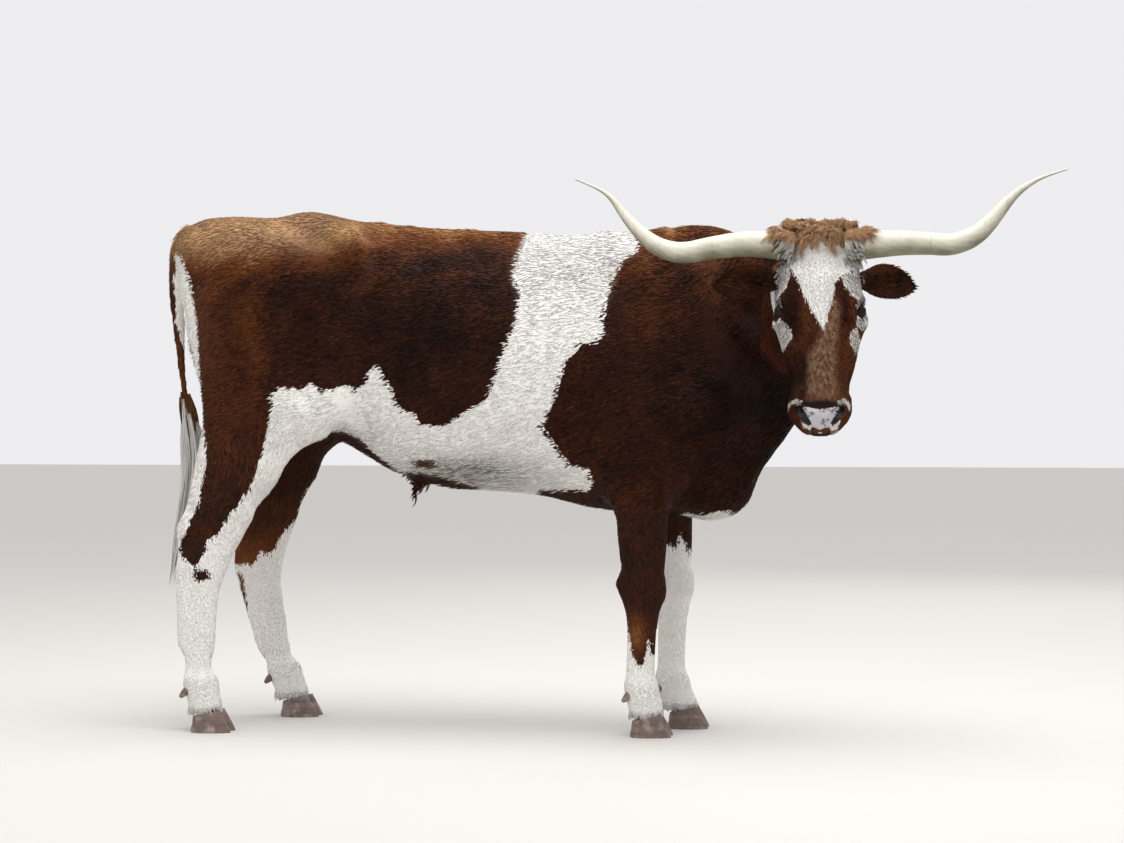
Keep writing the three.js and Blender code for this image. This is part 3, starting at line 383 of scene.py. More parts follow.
def spread(values, rounds, share=0.5, where=None):
    """Values of the skin's points, each drawn towards the mean of its neighbours, again and again."""
    flat = values.reshape(len(values), -1).astype(float)
    for _ in range(rounds):
        step = share * (sum_of_neighbours(flat, edges) / neighbours[:, None] - flat)
        flat += step if where is None else step * where[:, None]
    return flat.reshape(values.shape)

def is_part(*names):
    """1 where the skin belongs to solids whose names start like this, else 0."""
    numbers = [i for i, name in enumerate(FLESH) if name.startswith(names)]
    return np.isin(label, numbers).astype(float)

def normals_of(obj):
    return read(obj.data.vertex_normals, "vector", 3)

def ease(values, low, high):
    """0 below low, 1 above high, and a smooth step between."""
    t = np.clip((values - low) / (high - low), 0, 1)
    return t * t * (3 - 2 * t)

# %% Smooth the skin: the trunk most, the face and feet least, and the mass under the forelock flat
along, across, out = head_places(points).T
on_head_now = spread(is_part("head", "ear"), 3)
under_forelock = is_part("head") * ease(-along, -60, -25) * ease(out, -90, -60) * ease(78 - np.abs(across), 0, 25)
points = spread(points, 6, 0.5, where=1 - 0.75 * on_head_now)
points = spread(points, 4, 0.5, where=spread(is_part("torso", "neck", "sheath"), 4))
points = spread(points, 26, 0.6, where=spread(under_forelock, 4))
place_corners(skin, points)
print("labels:", dict(zip(FLESH, np.bincount(label, minlength=len(FLESH)).tolist())))

# %% [markdown]
# ## The coat's markings
# A longhorn's patches end in a hard, ragged line, hair by hair. Each patch is an outline in millimetres, as seen
# from the side, with X towards the chest and Z up. A point's distance inside the outline is kept on the skin and
# on each tuft, and the shader turns it into brown or white, so skin and coat always agree.

# %% Outlines of the brown patches
NEAR_REAR = [
    (-1230, 1600), (-200, 1600), (-200, 1307), (-212, 1221), (-187, 1173), (-193, 1101), (-225, 1017), (-254, 917),
    (-284, 881), (-370, 831), (-417, 820), (-461, 836), (-465, 857), (-495, 862), (-516, 886), (-529, 923), (-545, 947),
    (-566, 986), (-589, 971), (-598, 936), (-627, 920), (-656, 934), (-710, 915), (-749, 936), (-787, 921), (-830, 926),
    (-851, 907), (-851, 870), (-881, 771), (-913, 680), (-955, 613), (-984, 578), (-1013, 532), (-1041, 516),
    (-1049, 476), (-1077, 443), (-1117, 472), (-1124, 501), (-1108, 531), (-1064, 628), (-1047, 725), (-1047, 776),
    (-1064, 851), (-1071, 956), (-1074, 1096), (-1096, 1189), (-1122, 1256), (-1138, 1290),
    (-1176, 1308), (-1230, 1306),
]
NEAR_FRONT = [
    (110, 1600), (110, 1287), (75, 1256), (56, 1216), (40, 1154), (31, 1101), (33, 1061), (23, 1048), (-21, 1038),
    (-59, 996), (-79, 928), (-95, 881), (-123, 818), (-108, 797), (-80, 752), (-58, 720), (-11, 709), (-1, 669),
    (-14, 650), (-60, 652), (-150, 652), (-170, 560), (0, 450), (900, 450), (900, 1600),
]
FAR_REAR = [
    (-1230, 1600), (-200, 1600), (-200, 1307), (-188, 1230), (-216, 1150), (-240, 1098), (-232, 1040), (-300, 960),
    (-352, 934), (-418, 950), (-470, 925), (-540, 880), (-600, 894), (-655, 870), (-700, 838), (-742, 862), (-790, 850),
    (-840, 780), (-862, 700), (-868, 600), (-905, 560), (-940, 500), (-1000, 430), (-1040, 470), (-1040, 560),
    (-1010, 640), (-1010, 760), (-1050, 900), (-1074, 1096), (-1105, 1249), (-1084, 1290), (-1150, 1325), (-1230, 1330),
]
FAR_FRONT = [
    (110, 1600), (110, 1287), (92, 1230), (20, 1180), (8, 1120), (-30, 1080), (-24, 1010), (10, 950), (-20, 890),
    (-70, 860), (-84, 800), (-40, 740), (-20, 700), (-14, 650), (-60, 652), (-150, 652), (-170, 560), (0, 450),
    (900, 450), (900, 1600),
]
BLAZE = [
    (30, -72), (42, -86), (88, -81), (116, -65), (146, -50), (176, -42), (208, -25), (245, -7), (284, 10), (252, 15),
    (222, 23), (199, 32), (148, 35), (123, 57), (97, 88), (67, 88), (40, 84), (26, 60), (30, 0),
]
NEAR_FORELEG = [
    (-100, 900), (-100, 330), (60, 320), (83, 312), (90, 268), (100, 228), (112, 190), (124, 186), (135, 206),
    (142, 258),
    (150, 222), (160, 220), (172, 262), (300, 262), (300, 900),
]
FAR_FORELEG = [
    (0, 900), (0, 520), (150, 512), (188, 492), (205, 528), (224, 474), (240, 500), (400, 515), (400, 900),
]
FAR_HINDLEG = [
    (-1200, 1000), (-1200, 430), (-1010, 430), (-985, 470), (-962, 455), (-930, 512), (-890, 560), (-860, 640),
    (-700, 800), (-700, 1000),
]
FAR_HOCK_STRIP = [(-1062, 410), (-1046, 404), (-1040, 350), (-1034, 296), (-1041, 296), (-1052, 350)]
GROIN = [
    (-870, 500), (-862, 740), (-800, 800), (-745, 806), (-681, 808), (-643, 790), (-599, 742), (-560, 716), (-520, 600),
]
SHEATH_LINE = [
    (-650, 560), (-640, 752), (-600, 736), (-560, 712), (-530, 694), (-490, 700), (-440, 692), (-400, 688), (-350, 668),
    (-318, 660), (-318, 560),
]
PALE_BRISKET = [(238, 600), (300, 588), (345, 596), (374, 588), (374, 500), (230, 500)]

# %% Outlines on the face, in millimetres along it and across it
PALE_TEMPLES = [
    [(15, 140), (90, 84), (107, 84), (128, 52), (150, 60), (172, 74), (190, 92), (236, 92), (250, 88), (258, 94),
     (250, 112), (190, 135), (90, 150)],
    [(15, -140), (33, -118), (75, -90), (113, -74), (137, -76), (160, -86), (176, -104), (215, -92), (222, -100),
     (196, -128), (100, -150)],
]
PALE_UNDER_EYES = [
    [(266, 74), (258, 92), (282, 102), (303, 100), (307, 82), (286, 72)],
    [(224, -124), (234, -105), (248, -86), (263, -71), (282, -69), (303, -88), (290, -100), (275, -104), (244, -118)],
]
PALE_NOSTRIL_RIMS = [
    [(470, -80), (458, -73), (453, -58), (457, -44), (463, -46), (461, -58), (464, -70), (472, -76)],
    [(457, 44), (452, 60), (462, 75), (478, 72), (467, 66), (460, 56), (463, 46)],
    [(506, -46), (511, -36), (513, -20), (519, -24), (513, -40)],
    [(513, 22), (510, 38), (504, 50), (513, 44), (520, 28)],
]
BRIDGE_OF_NOSE = [
    (180, 26), (190, 42), (210, 50), (282, 44), (356, 40), (454, 42), (454, -30), (331, -28), (306, -8), (258, 12),
]

# %% How far inside an outline
def inside(places, outline):
    """Signed distance to a closed outline, in the units it is written in: positive inside it."""
    nearest = np.full(len(places), 1e9)
    crossings = np.zeros(len(places), int)
    for a, b in zip(outline, outline[1:] + outline[:1]):
        a, b = np.array(a, float), np.array(b, float)
        way = b - a
        t = np.clip(((places - a) @ way) / (way @ way), 0, 1)
        nearest = np.minimum(nearest, np.linalg.norm(places - a - t[:, None] * way, axis=1))
        if a[1] != b[1]:
            between = (places[:, 1] > a[1]) != (places[:, 1] > b[1])
            crossings += between & (places[:, 0] < a[0] + way[0] * (places[:, 1] - a[1]) / way[1])
    return np.where(crossings % 2 == 1, nearest, -nearest)

def blob(places, middle, radii):
    """Signed distance, nearly, to a rounded spot: positive inside it."""
    scaled = (places - np.array(middle)) / np.array(radii)
    return (1 - np.linalg.norm(scaled, axis=1)) * min(radii)

def inside_any(places, outlines):
    return np.maximum.reduce([inside(places, outline) for outline in outlines])

def haze(first, second):
    """Makes soft round clouds over two coordinates: 1 in the middle, fading over the two reaches."""
    def cloud(at_first, at_second, reach_first, reach_second):
        return np.exp(-(((first - at_first) / reach_first) ** 2 + ((second - at_second) / reach_second) ** 2))
    return cloud

# %% Where the animal is brown
ALL_BROWN = 40.0  # millimetres inside a patch, further than the ragged edge reaches

def brown_at(x, z, side, face, out, names):
    """Millimetres inside a brown patch. side is the distance to the left of the middle plane."""
    flat = np.stack([x, z], 1)
    far = ease(side, -25, 25)
    near_rear, far_rear = inside(flat, NEAR_REAR), inside(flat, FAR_REAR)
    body = np.maximum(
        (1 - far) * near_rear + far * far_rear,
        (1 - far) * inside(flat, NEAR_FRONT) + far * inside(flat, FAR_FRONT),
    )
    groin = inside(flat, GROIN)
    sheath = np.minimum(inside(flat, SHEATH_LINE), 125 - np.abs(side))
    spot = blob(flat, (-452, 719), (36, 13)) * (side < 0) - 30 * (side >= 0)
    trunk = np.maximum.reduce([body, np.minimum(groin, side + 150), sheath, spot])
    brown = np.minimum(trunk, -inside(flat, PALE_BRISKET))
    hock_spot = blob(flat, (-1057, 424), (25, 15))
    far_hind = np.maximum(np.where(side < 190, inside(flat, FAR_HINDLEG), far_rear), inside(flat, FAR_HOCK_STRIP))
    white_of_face = inside_any(face, [BLAZE, *PALE_TEMPLES, *PALE_UNDER_EYES, *PALE_NOSTRIL_RIMS])
    for name, values in (
        ("hindleg_right", np.maximum(near_rear, np.maximum(hock_spot, np.minimum(groin, side + 110)))),
        ("hindleg_left", far_hind),
        ("foreleg_right", inside(flat, NEAR_FORELEG)),
        ("foreleg_left", inside(flat, FAR_FORELEG)),
        ("head", 1.7 * np.where(out < -135, ALL_BROWN, -white_of_face)),  # its short hair has a finer edge
        ("ear", np.full(len(x), ALL_BROWN)),
        ("tail_dock", np.full(len(x), ALL_BROWN)),
    ):
        mine = np.char.startswith(names, name)
        brown[mine] = values[mine]
    # the upper half of the dock is white on its near side
    white_dock = (names == "tail_dock") & (side < 4) & (z > 1000)
    edge_of_white = np.interp(z, (1000, 1040, 1107, 1245, 1285), (-1120, -1168, -1184, -1190, -1040))
    brown[white_dock] = (edge_of_white - x)[white_dock]
    return brown

# %% How pale the brown is: painted light from above, painted shade, and the coat's own tone
def mottled(along, across):
    """Blotches about 30 mm wide."""
    wave = np.sin(along * 0.21 + 1.7 * np.sin(across * 0.17)) * np.sin(across * 0.26 + 1.3 * np.sin(along * 0.11))
    return 0.5 + 0.5 * wave

def tan_at(x, z, place, names):
    """0 for the darkest brown, 1 for the palest: pale on top as painted light, on the nose and where patches fade."""
    along, across, out = place.T
    cloud, on_the_face = haze(x, z), haze(along, across)
    low_edge = 1315 - 40 * ease(-x, 600, 700) + 40 * ease(x, 150, 300)
    # paler above the top line: painted light from above
    tan = 0.22 + 0.60 * ease(z, low_edge - 70, low_edge + 70)
    for strength, *where in (
        # the chest and the flank darker: painted shade
        (-0.18, 440, 900, 230, 260),  # the chest
        (-0.11, -480, 1080, 260, 150),  # the flank
        (0.14, -1080, 1080, 50, 190),  # behind the thigh
        (0.10, -895, 1010, 26, 120),  # between the thigh's muscles
        # the hook and the shoulder paler: painted highlights of the light from above
        (0.22, -680, 1315, 60, 50),  # the hook
        (0.26, 120, 1250, 60, 50),  # the shoulder
        (0.12, 150, 1140, 90, 110),
    ):
        tan += strength * cloud(*where)
    tan += 0.16 * ease(-x, 800, 960) * ease(z, 600, 900)
    ripple = np.sin(x * 0.031 + 1.9 * np.sin(z * 0.023)) * np.sin(z * 0.037 + 1.6 * np.sin(x * 0.017))
    tan += 0.10 * ripple * ease(z, 1040, 1240)
    # the top of the neck and of the hump paler: painted light from above
    tan += 0.12 * ease(z, 1080, 1250) * ease(x, 230, 330) + 0.30 * ease(z, 1345, 1395) * ease(x, 180, 260)
    blotches = mottled(along, across)
    bridge = ease(inside(place[:, :2], BRIDGE_OF_NOSE), -14, 12)
    head = 0.36 + 0.12 * ease(across, 20, 80) + 0.26 * bridge * (0.45 + 0.55 * blotches) - 0.12 * blotches
    for strength, *where in (
        (0.16, 235, -34, 60, 12), (-0.24, 205, -72, 62, 22), (-0.26, 385, -62, 62, 40),
        (-0.26, 205, 62, 45, 16), (0.16, 435, 8, 16, 34),
    ):
        head += strength * on_the_face(*where)
    head -= 0.42 * ease(along, 452, 462) * (along < 478) * (np.abs(across) < 38)  # over the muzzle
    # the sides of the head darker: painted shade
    head = np.where(out < -70, 0.30, head)
    head = np.where(along < 40, 0.72, head)
    for mine, values in (
        (names == "head", head),
        # the right ear a little darker: painted shade
        (np.char.startswith(names, "ear"), 0.26 + 0.24 * ease(z, 1205, 1245) - 0.04 * (across < 0)),
        (np.char.startswith(names, "foreleg") & (z < 360), 0.22 + 0.42 * cloud(110, 270, 28, 60)),
        (np.char.startswith(names, "hindleg_left") & (z < 620), 0.30 + 0.3 * ease(-z, -560, -440)),
        ((names == "tail_dock") & (z < 1060), 0.50),
    ):
        tan = np.where(mine, values, tan)
    return np.clip(tan, 0, 1)

# %% How much grey is mixed in
def grey_at(x, z, place, names, brown):
    """Grey ticking in the white of the back, flank and belly, and frosting on the rump and the face."""
    along, across, out = place.T
    face = place[:, :2]
    cloud = haze(x, z)
    ticking = 0.75 * cloud(-30, 1250, 240, 110) + 1.3 * cloud(-330, 700, 190, 48) + 0.5 * cloud(-620, 800, 70, 40)
    body = ticking * ease(-brown, -14, 2) + 0.55 * ease(z, 1250, 1345) * ease(-x, 560, 760)
    head = 1.3 * ease(inside_any(face, PALE_TEMPLES + PALE_UNDER_EYES), -3, 8) + 0.22 * (inside(face, BLAZE) > 0)
    head += 0.95 * ease(inside(face, BRIDGE_OF_NOSE), -12, 14) * mottled(along, across)
    head += 0.8 * ease(inside_any(face, PALE_NOSTRIL_RIMS), -4, 2)
    head *= out > -110
    on_trunk = np.isin(names, ("torso", "neck", "sheath"))
    return np.clip(np.where(names == "head", head, np.where(on_trunk, body, 0.02)), 0, 1.5)

# %% The three marks together
def marks(points, parts):
    """Brown, tan and grey at points in metres that belong to the solids with these numbers in FLESH."""
    x, y, z = points.T / MM
    place = head_places(points)
    names = np.array(FLESH)[parts]
    brown = brown_at(x, z, y - MIDDLE_Y / MM, place[:, :2], place[:, 2], names)
    return brown, tan_at(x, z, place, names), grey_at(x, z, place, names, brown)

# %% [markdown]
# ## Sculpting strokes
# The measured form has the big shapes. Soft strokes, pressed in or raised along the skin's own normals as a
# sculptor's brush would, add what lies just under a thin hide: hip bones, ribs, shoulder blade, sinews, folds of
# the neck, and on the face the brow ridges, cheek line, nostrils, lips and wrinkles.

# %% The brush
def nearest_on_path(points, path):
    """The distance from each point to a path of one or more places."""
    path = np.array(path, float)
    nearest = np.full(len(points), 1e9)
    starts, ends = (path, path) if len(path) == 1 else (path[:-1], path[1:])
    for a, b in zip(starts, ends):
        way = b - a
        t = np.clip(((points - a) @ way) / max(float(way @ way), 1e-12), 0, 1)
        nearest = np.minimum(nearest, np.linalg.norm(points - a - t[:, None] * way, axis=1))
    return nearest

def brush(points, normals, path, radius, height):
    """Raises (or with a negative height, presses) the points near a path. A path is in metres."""
    strength = np.exp(-((nearest_on_path(points, path) / radius) ** 2))
    return points + normals * (strength * height)[:, None]

def on_body(*places):
    """Millimetres in the row's frame, y given from the middle plane, as metres."""
    return [(x * MM, MIDDLE_Y + y * MM, z * MM) for x, y, z in places]

def on_face(*places):
    """Millimetres along, across and out of the face, as metres."""
    return [tuple(on_head(*place)) for place in places]

# %% Strokes on the face
EYE_GAZE = math.radians(37)
EYE_RADIUS = 0.0200

def eye_axes(side):
    """Where an eye looks, the way from it to the nose, and the third direction. side is -1 for the right eye."""
    look = (0.05 * ALONG + side * math.cos(EYE_GAZE) * ACROSS + math.sin(EYE_GAZE) * OUT).normalized()
    nose = 0.8 * ALONG - side * 0.6 * math.sin(EYE_GAZE) * ACROSS + 0.6 * math.cos(EYE_GAZE) * OUT
    nose = (nose - nose.dot(look) * look).normalized()
    return look, nose, look.cross(nose)

FACE_STROKES = (  # places along, across and out in millimetres, the stroke's radius and its height
    ([(452, 66, -6), (462, 76, -20), (486, 72, -26), (508, 52, -22)], 10, 4),  # wing of the nostril
    ([(468, 56, -8), (486, 50, -10), (506, 32, -6)], 8, -18),  # nostril
    ([(462, 46, 0), (484, 36, 0), (506, 22, 0)], 6, 2.5),  # its inner rim
    ([(126, 58, -2), (158, 74, -4), (190, 84, -8)], 17, 6),  # brow
    ([(248, 90, -52), (318, 84, -70), (392, 74, -74)], 12, 3.5),  # cheek line
    ([(292, 58, -22), (350, 50, -20), (410, 46, -18)], 13, -3.5),  # hollow beside the nose
    ([(232, 78, -22), (262, 70, -22), (292, 66, -26)], 6, -2.2),  # wrinkles under the eye
    ([(250, 84, -36), (280, 76, -36), (306, 72, -40)], 6, -1.8),
    ([(120, 84, -60), (170, 96, -92), (250, 92, -120)], 16, -4),  # hollow behind the eye
)
MIDDLE_STROKES = (
    ([(464, -30, 2), (467, 0, 6), (464, 30, 2)], 4.5, -3.5),  # upper edge of the muzzle
    ([(300, 0, 0), (380, 0, 4), (440, 0, 6)], 16, 2),  # bridge of the nose
    ([(512, -2, -34), (498, 0, -6)], 2.5, -2),  # groove down to the lip
)
normals = normals_of(skin)
for side in (-1, 1):
    for path, radius, height in FACE_STROKES:
        mirrored = [(a, side * c, o) for a, c, o in path]
        points = brush(points, normals, on_face(*mirrored), radius * MM, height * MM)
for path, radius, height in MIDDLE_STROKES:
    points = brush(points, normals, on_face(*path), radius * MM, height * MM)

# %% Strokes on the body: bones and sinews just under the hide
BODY_STROKES = (  # X, distance from the middle plane and Z in millimetres, the stroke's radius and its height
    ([(-700, 214, 1352), (-664, 224, 1338)], 42, 9),  # hook, the hip bone
    ([(-640, 160, 1330), (-590, 205, 1250), (-610, 230, 1150)], 46, -9),  # hollow before it
    ([(-760, 150, 1395), (-900, 120, 1380), (-1060, 96, 1352)], 34, 7),  # ridge from hip to pin bone
    ([(-1130, 92, 1310)], 34, 8),  # pin bone
    ([(-1150, 60, 1180), (-1140, 76, 1060), (-1116, 92, 930), (-1096, 104, 820)], 44, 20),  # back of the thigh
    ([(-860, 210, 1290), (-900, 236, 1160), (-905, 240, 1040)], 60, -6),  # between thigh muscles
    ([(-700, 250, 920), (-650, 250, 850), (-600, 226, 800)], 26, 5),  # fold of the flank
    ([(-770, 246, 900), (-740, 240, 830)], 30, -5),
    ([(-985, 100, 640), (-1040, 92, 560), (-1085, 84, 500)], 16, -4),  # hollow before the hock sinew
    ([(120, 190, 1290), (190, 232, 1160), (240, 248, 1010)], 34, 6),  # edge of the shoulder blade
    ([(60, 214, 1240), (110, 250, 1080), (120, 262, 940)], 42, -5),
    ([(330, 214, 930), (300, 232, 850)], 40, 7),  # point of the shoulder
    ([(150, 236, 800), (110, 220, 740)], 34, 5),  # elbow
    ([(420, 120, 1180), (470, 132, 1000), (440, 140, 820)], 30, -5),  # groove of the neck
    ([(510, 92, 1120), (540, 96, 960)], 18, -4),  # folds behind the jaw
    ([(560, 84, 1090), (585, 84, 950)], 14, -3),
)
for side in (-1, 1):
    for path, radius, height in BODY_STROKES:
        mirrored = [(x, side * y, z) for x, y, z in path]
        points = brush(points, normals, on_body(*mirrored), radius * MM, height * MM)
    for rib in range(7):
        x, lean = -70 - 62 * rib, 40 + 6 * rib
        path = on_body((x, side * 235, 1150), (x - 0.6 * lean, side * 262, 980), (x - lean, side * 225, 820))
        points = brush(points, normals, path, 17 * MM, 2.2 * MM)
points = brush(points, normals, on_body((-800, 0, 1400), (-770, 0, 1398)), 34 * MM, -6 * MM)
TAIL_AND_THIGH_STROKES = (
    ([(-1178, 34, 1290), (-1150, 44, 1335), (-1080, 50, 1366)], 20, 7),  # ridge beside the tail head
    ([(-1130, 66, 1280), (-1080, 76, 1330), (-1000, 80, 1362)], 18, -6),  # hollow outside it
    ([(-1010, 170, 1200), (-1000, 190, 1080), (-980, 190, 960)], 30, -6),  # grooves of the thigh
    ([(-950, 210, 900), (-905, 200, 800), (-900, 180, 700)], 30, -5),
)
for side in (-1, 1):
    for path, radius, height in TAIL_AND_THIGH_STROKES:
        mirrored = [(x, side * y, z) for x, y, z in path]
        points = brush(points, normals, on_body(*mirrored), radius * MM, height * MM)
place_corners(skin, points)
print("strokes done")

# %% [markdown]
# ## Sinking the eyeballs' places
# The skin was drawn over the eyeballs too, so that the lids lie on them. Inside each lid opening it is pushed
# back under the ball, which is a piece of its own, and the lid's edge is left standing round it.

# %% Lid openings
EYE_CLEARANCE = 40 * MM  # nothing further than this from a ball's middle belongs to its lids
BALLS = {-1: "eye_right", 1: "eye_left"}

def almond(turn, wider=0.0):
    """The angle from the gaze to the lid's edge, in radians: 36 degrees up and down, 57 to the corners."""
    return np.radians(36 + wider + 21 * np.abs(np.cos(turn)) ** 1.6)

def lid_opening(points, side):
    """How far inside the almond between the lids a point is, as a share: 0 at the lid's edge, 1 in the middle."""
    look, nose, up = (np.array(v) for v in eye_axes(side))
    reach = points - np.array(middle_of(BALLS[side]))
    distance = np.linalg.norm(reach, axis=1)
    open_angle = np.arccos(np.clip(reach @ look / np.maximum(distance, 1e-9), -1, 1))
    edge = almond(np.arctan2(reach @ up, reach @ nose))
    return np.where(distance < EYE_CLEARANCE, 1 - open_angle / edge, -2.0), distance, reach

def most_open(points):
    """The share for whichever eye is nearer."""
    return np.maximum(*[lid_opening(points, side)[0] for side in BALLS])

for side in BALLS:
    share, distance, reach = lid_opening(points, side)
    hug = 0.94 * ease(share, -0.95, -0.22)
    lid = (EYE_RADIUS + 2.3 * MM) / np.maximum(distance, 1e-6)
    points = points + reach * ((lid - 1) * hug)[:, None]
    share, distance, reach = lid_opening(points, side)
    sunk = ease(share, 0.0, 0.12)
    wanted = (EYE_RADIUS - 3.5 * MM) / np.maximum(distance, 1e-6)
    points = points + reach * ((wanted - 1) * sunk)[:, None]
place_corners(skin, points)

# %% Coat depth: the skin lies under the solids' surface by the thickness of the hair
depth = 4.2 * MM * is_part("torso", "neck", "sheath", "tail") + 3 * MM * is_part("foreleg", "hindleg")
depth = spread(depth + 1.8 * MM * is_part("head", "ear"), 12)
bare = ease(along, 466, 472) * (np.abs(across) < 52) * (out > -60) * is_part("head")
points = corners(skin) - normals_of(skin) * (depth * (1 - bare))[:, None]
place_corners(skin, points)
shade_smooth(skin.data)
skin.data.update()
normals = normals_of(skin)
print("skin is under the solids by", [round(float(d) / MM, 1) for d in (depth.min(), depth.max())], "mm")

# %% [markdown]
# ## The lie of the coat
# Hair on cattle points from the head to the tail along the body and down the legs, runs from the eyes to the nose
# on the face, and out along the ears. The directions are set by part, laid flat on the skin, and blended where
# parts meet. They comb the tufts, and the fine streaks of the hide's bump.

# %% Directions of the hair over the skin
along, across, out = head_places(points).T
LIE_BY_PART = {
    "torso": (-1.0, 0.0, -0.38), "sheath": (-0.6, 0.0, -0.8), "tail_dock": (0.05, 0.0, -1.0),
    "neck": (-0.75, 0.0, -0.75), "foreleg": (-0.12, 0.0, -1.0), "hindleg": (-0.25, 0.0, -1.0),
}
lie = sum(is_part(name)[:, None] * np.array(way) for name, way in LIE_BY_PART.items())
outwards = 0.45 * np.clip(across / 90, -1, 1)[:, None] * np.array(ACROSS)
lie += is_part("head")[:, None] * (np.array(ALONG) + outwards)
for name, side in (("ear_right", -1), ("ear_left", 1)):
    lie += is_part(name)[:, None] * (side * np.array(ACROSS) + np.array((0, 0, -0.1)))
lie = spread(lie, 25)
lie -= (lie * normals).sum(1)[:, None] * normals
lie /= np.maximum(np.linalg.norm(lie, axis=1), 1e-6)[:, None]

# %% The marks kept on the skin. comb holds metres across the hair and along it, for its fine streaks
def keep(mesh, name, values):
    """Stores an array on a mesh's points as an attribute that a shader can read."""
    kind, field = ("FLOAT_VECTOR", "vector") if values.ndim == 2 else ("FLOAT", "value")
    attribute = mesh.attributes.new(name, kind, "POINT")
    attribute.data.foreach_set(field, np.ascontiguousarray(values, np.float32).ravel())

brown, tan, grey = marks(points, label)
beside = np.cross(normals, lie)
comb = np.stack([(points * beside).sum(1), (points * lie).sum(1), np.zeros(len(points))], 1)
for name, values in (
    ("brown", brown), ("tan", tan), ("grey", grey), ("shade", np.zeros(len(points))), ("root", points), ("comb", comb),
):
    keep(skin.data, name, values)
print("brown share of the skin:", round(float((brown > 0).mean()), 2))

# %% [markdown]
# ## Hide and hair
# The markings are kept on every point, so the material only has to read them. Ragged noise moves the line between
# brown and white by about a centimetre, a ramp turns tan into four browns, and fine streaks along the hair break
# up every flat area. A painted image would be quicker, but it would blur close up.

# %% Hair, short and long
# Cattle hair is a keratin fibre, IOR about 1.55, with pigment inside. A smooth fibre would have a roughness of 0.3,
# but light is lost between thousands of them, so the coat looks dry: roughness 0.6 and a low specular level. The
# pale long hair is thin enough to let some light through.
# Sizes: the border wanders in bites 16 mm wide, the sun has bleached blotches 110 mm wide, and roan specks are
# 3 mm wide, as wide as a tuft. A hair is 0.1 mm thick, too fine to show, so the streaks are 1.6 mm apart and 24 mm
# long, as clumps of damp hair are.
def hair_material(name, browns, white, see_through):
    """Hair coloured by marks kept at its root. browns go darkest to palest; tan also holds painted light and shade."""
    material, tree = new_material(name)
    root = add(tree, "Attribute", attribute_name="root").outputs["Vector"]
    comb = add(tree, "Attribute", attribute_name="comb").outputs["Vector"]
    brown, tan, grey, shade = (
        add(tree, "Attribute", attribute_name=mark).outputs["Fac"] for mark in ("brown", "tan", "grey", "shade"))
    # brown or white: the border moves by up to 12 mm either way
    ragged = add(tree, "TexNoise", {"Vector": root, "Scale": 62.0, "Detail": 4.0, "Roughness": 0.62})
    wander = add(tree, "Math", {0: ragged, 1: 24.0, 2: -12.0}, operation="MULTIPLY_ADD")
    edge = add(tree, "Math", {0: brown, 1: wander}, operation="ADD")
    is_brown = add(tree, "MapRange", {"Value": edge, "From Min": -1.2, "From Max": 1.2})
    # how pale the brown is
    streak_places = add(tree, "Mapping", {"Vector": comb, "Scale": (620.0, 42.0, 1.0)})
    streaks = add(tree, "TexNoise", {"Vector": streak_places, "Scale": 1.0, "Detail": 2.0})
    blotches = add(tree, "TexNoise", {"Vector": root, "Scale": 9.0, "Detail": 5.0, "Roughness": 0.68})
    lighter = add(tree, "Math", {0: streaks, 1: 0.30, 2: -0.15}, operation="MULTIPLY_ADD")
    lighter = add(tree, "Math", {0: shade, 1: 0.06, 2: lighter}, operation="MULTIPLY_ADD")
    blotched = add(tree, "Math", {0: blotches, 1: 0.55, 2: -0.275}, operation="MULTIPLY_ADD")
    lighter = add(tree, "Math", {0: lighter, 1: blotched}, operation="ADD")
    tan_here = add(tree, "Math", {0: tan, 1: lighter}, operation="ADD", use_clamp=True)
    ramp = add(tree, "ValToRGB", {"Fac": tan_here})
    for stop_place, colour in zip((0.25, 0.6), browns[1:3]):
        ramp.color_ramp.elements.new(stop_place).color = linear(colour)
    ramp.color_ramp.elements[0].color = linear(browns[0])
    ramp.color_ramp.elements[3].color = linear(browns[3])
    frost = add(tree, "Math", {0: grey, 1: streaks}, operation="MULTIPLY", use_clamp=True)
    brown_hair = add(tree, "Mix", {0: frost, 6: ramp, 7: linear("#a8937c")}, data_type="RGBA")
    # white, with grey ticking, and painted shade in the hollows between the streaks
    specks = add(tree, "TexNoise", {"Vector": root, "Scale": 300.0, "Detail": 2.0, "Roughness": 0.7})
    ticks = add(tree, "MapRange", {"Value": specks, "From Min": 0.44, "From Max": 0.60, "To Min": 0.28})
    grey_here = add(tree, "Math", {0: grey, 1: ticks}, operation="MULTIPLY", use_clamp=True)
    white_hair = add(tree, "Mix", {0: grey_here, 6: linear(white), 7: linear("#77726e")}, data_type="RGBA")
    hollow = add(tree, "MapRange", {"Value": streaks, "From Min": 0.62, "From Max": 0.2, "To Max": 0.24})
    white_hair = add(tree, "Mix", {0: hollow, 6: white_hair, 7: linear("#b7aea6")}, data_type="RGBA")
    colour = add(tree, "Mix", {0: is_brown, 6: white_hair, 7: brown_hair}, data_type="RGBA")
    bump = add(tree, "Bump", {"Strength": 0.35, "Distance": 0.0012, "Height": streaks})
    fibres = add(tree, "BsdfPrincipled", {
        "Base Color": colour, "Roughness": 0.6, "Specular IOR Level": 0.08, "Normal": bump})
    lit_through = add(tree, "BsdfTranslucent", {"Color": colour})
    both = add(tree, "MixShader", {0: see_through, 1: fibres, 2: lit_through})
    add(tree, "OutputMaterial", {"Surface": both})
    return material

coat = hair_material("short_cattle_hair", ("#0f0603", "#32160b", "#653718", "#ad8052"), "#f1eeea", 0.0)
long_hair = hair_material("long_cattle_hair", ("#1b0d07", "#6a452b", "#ac8059", "#deb48a"), "#f8f6f2", 0.3)

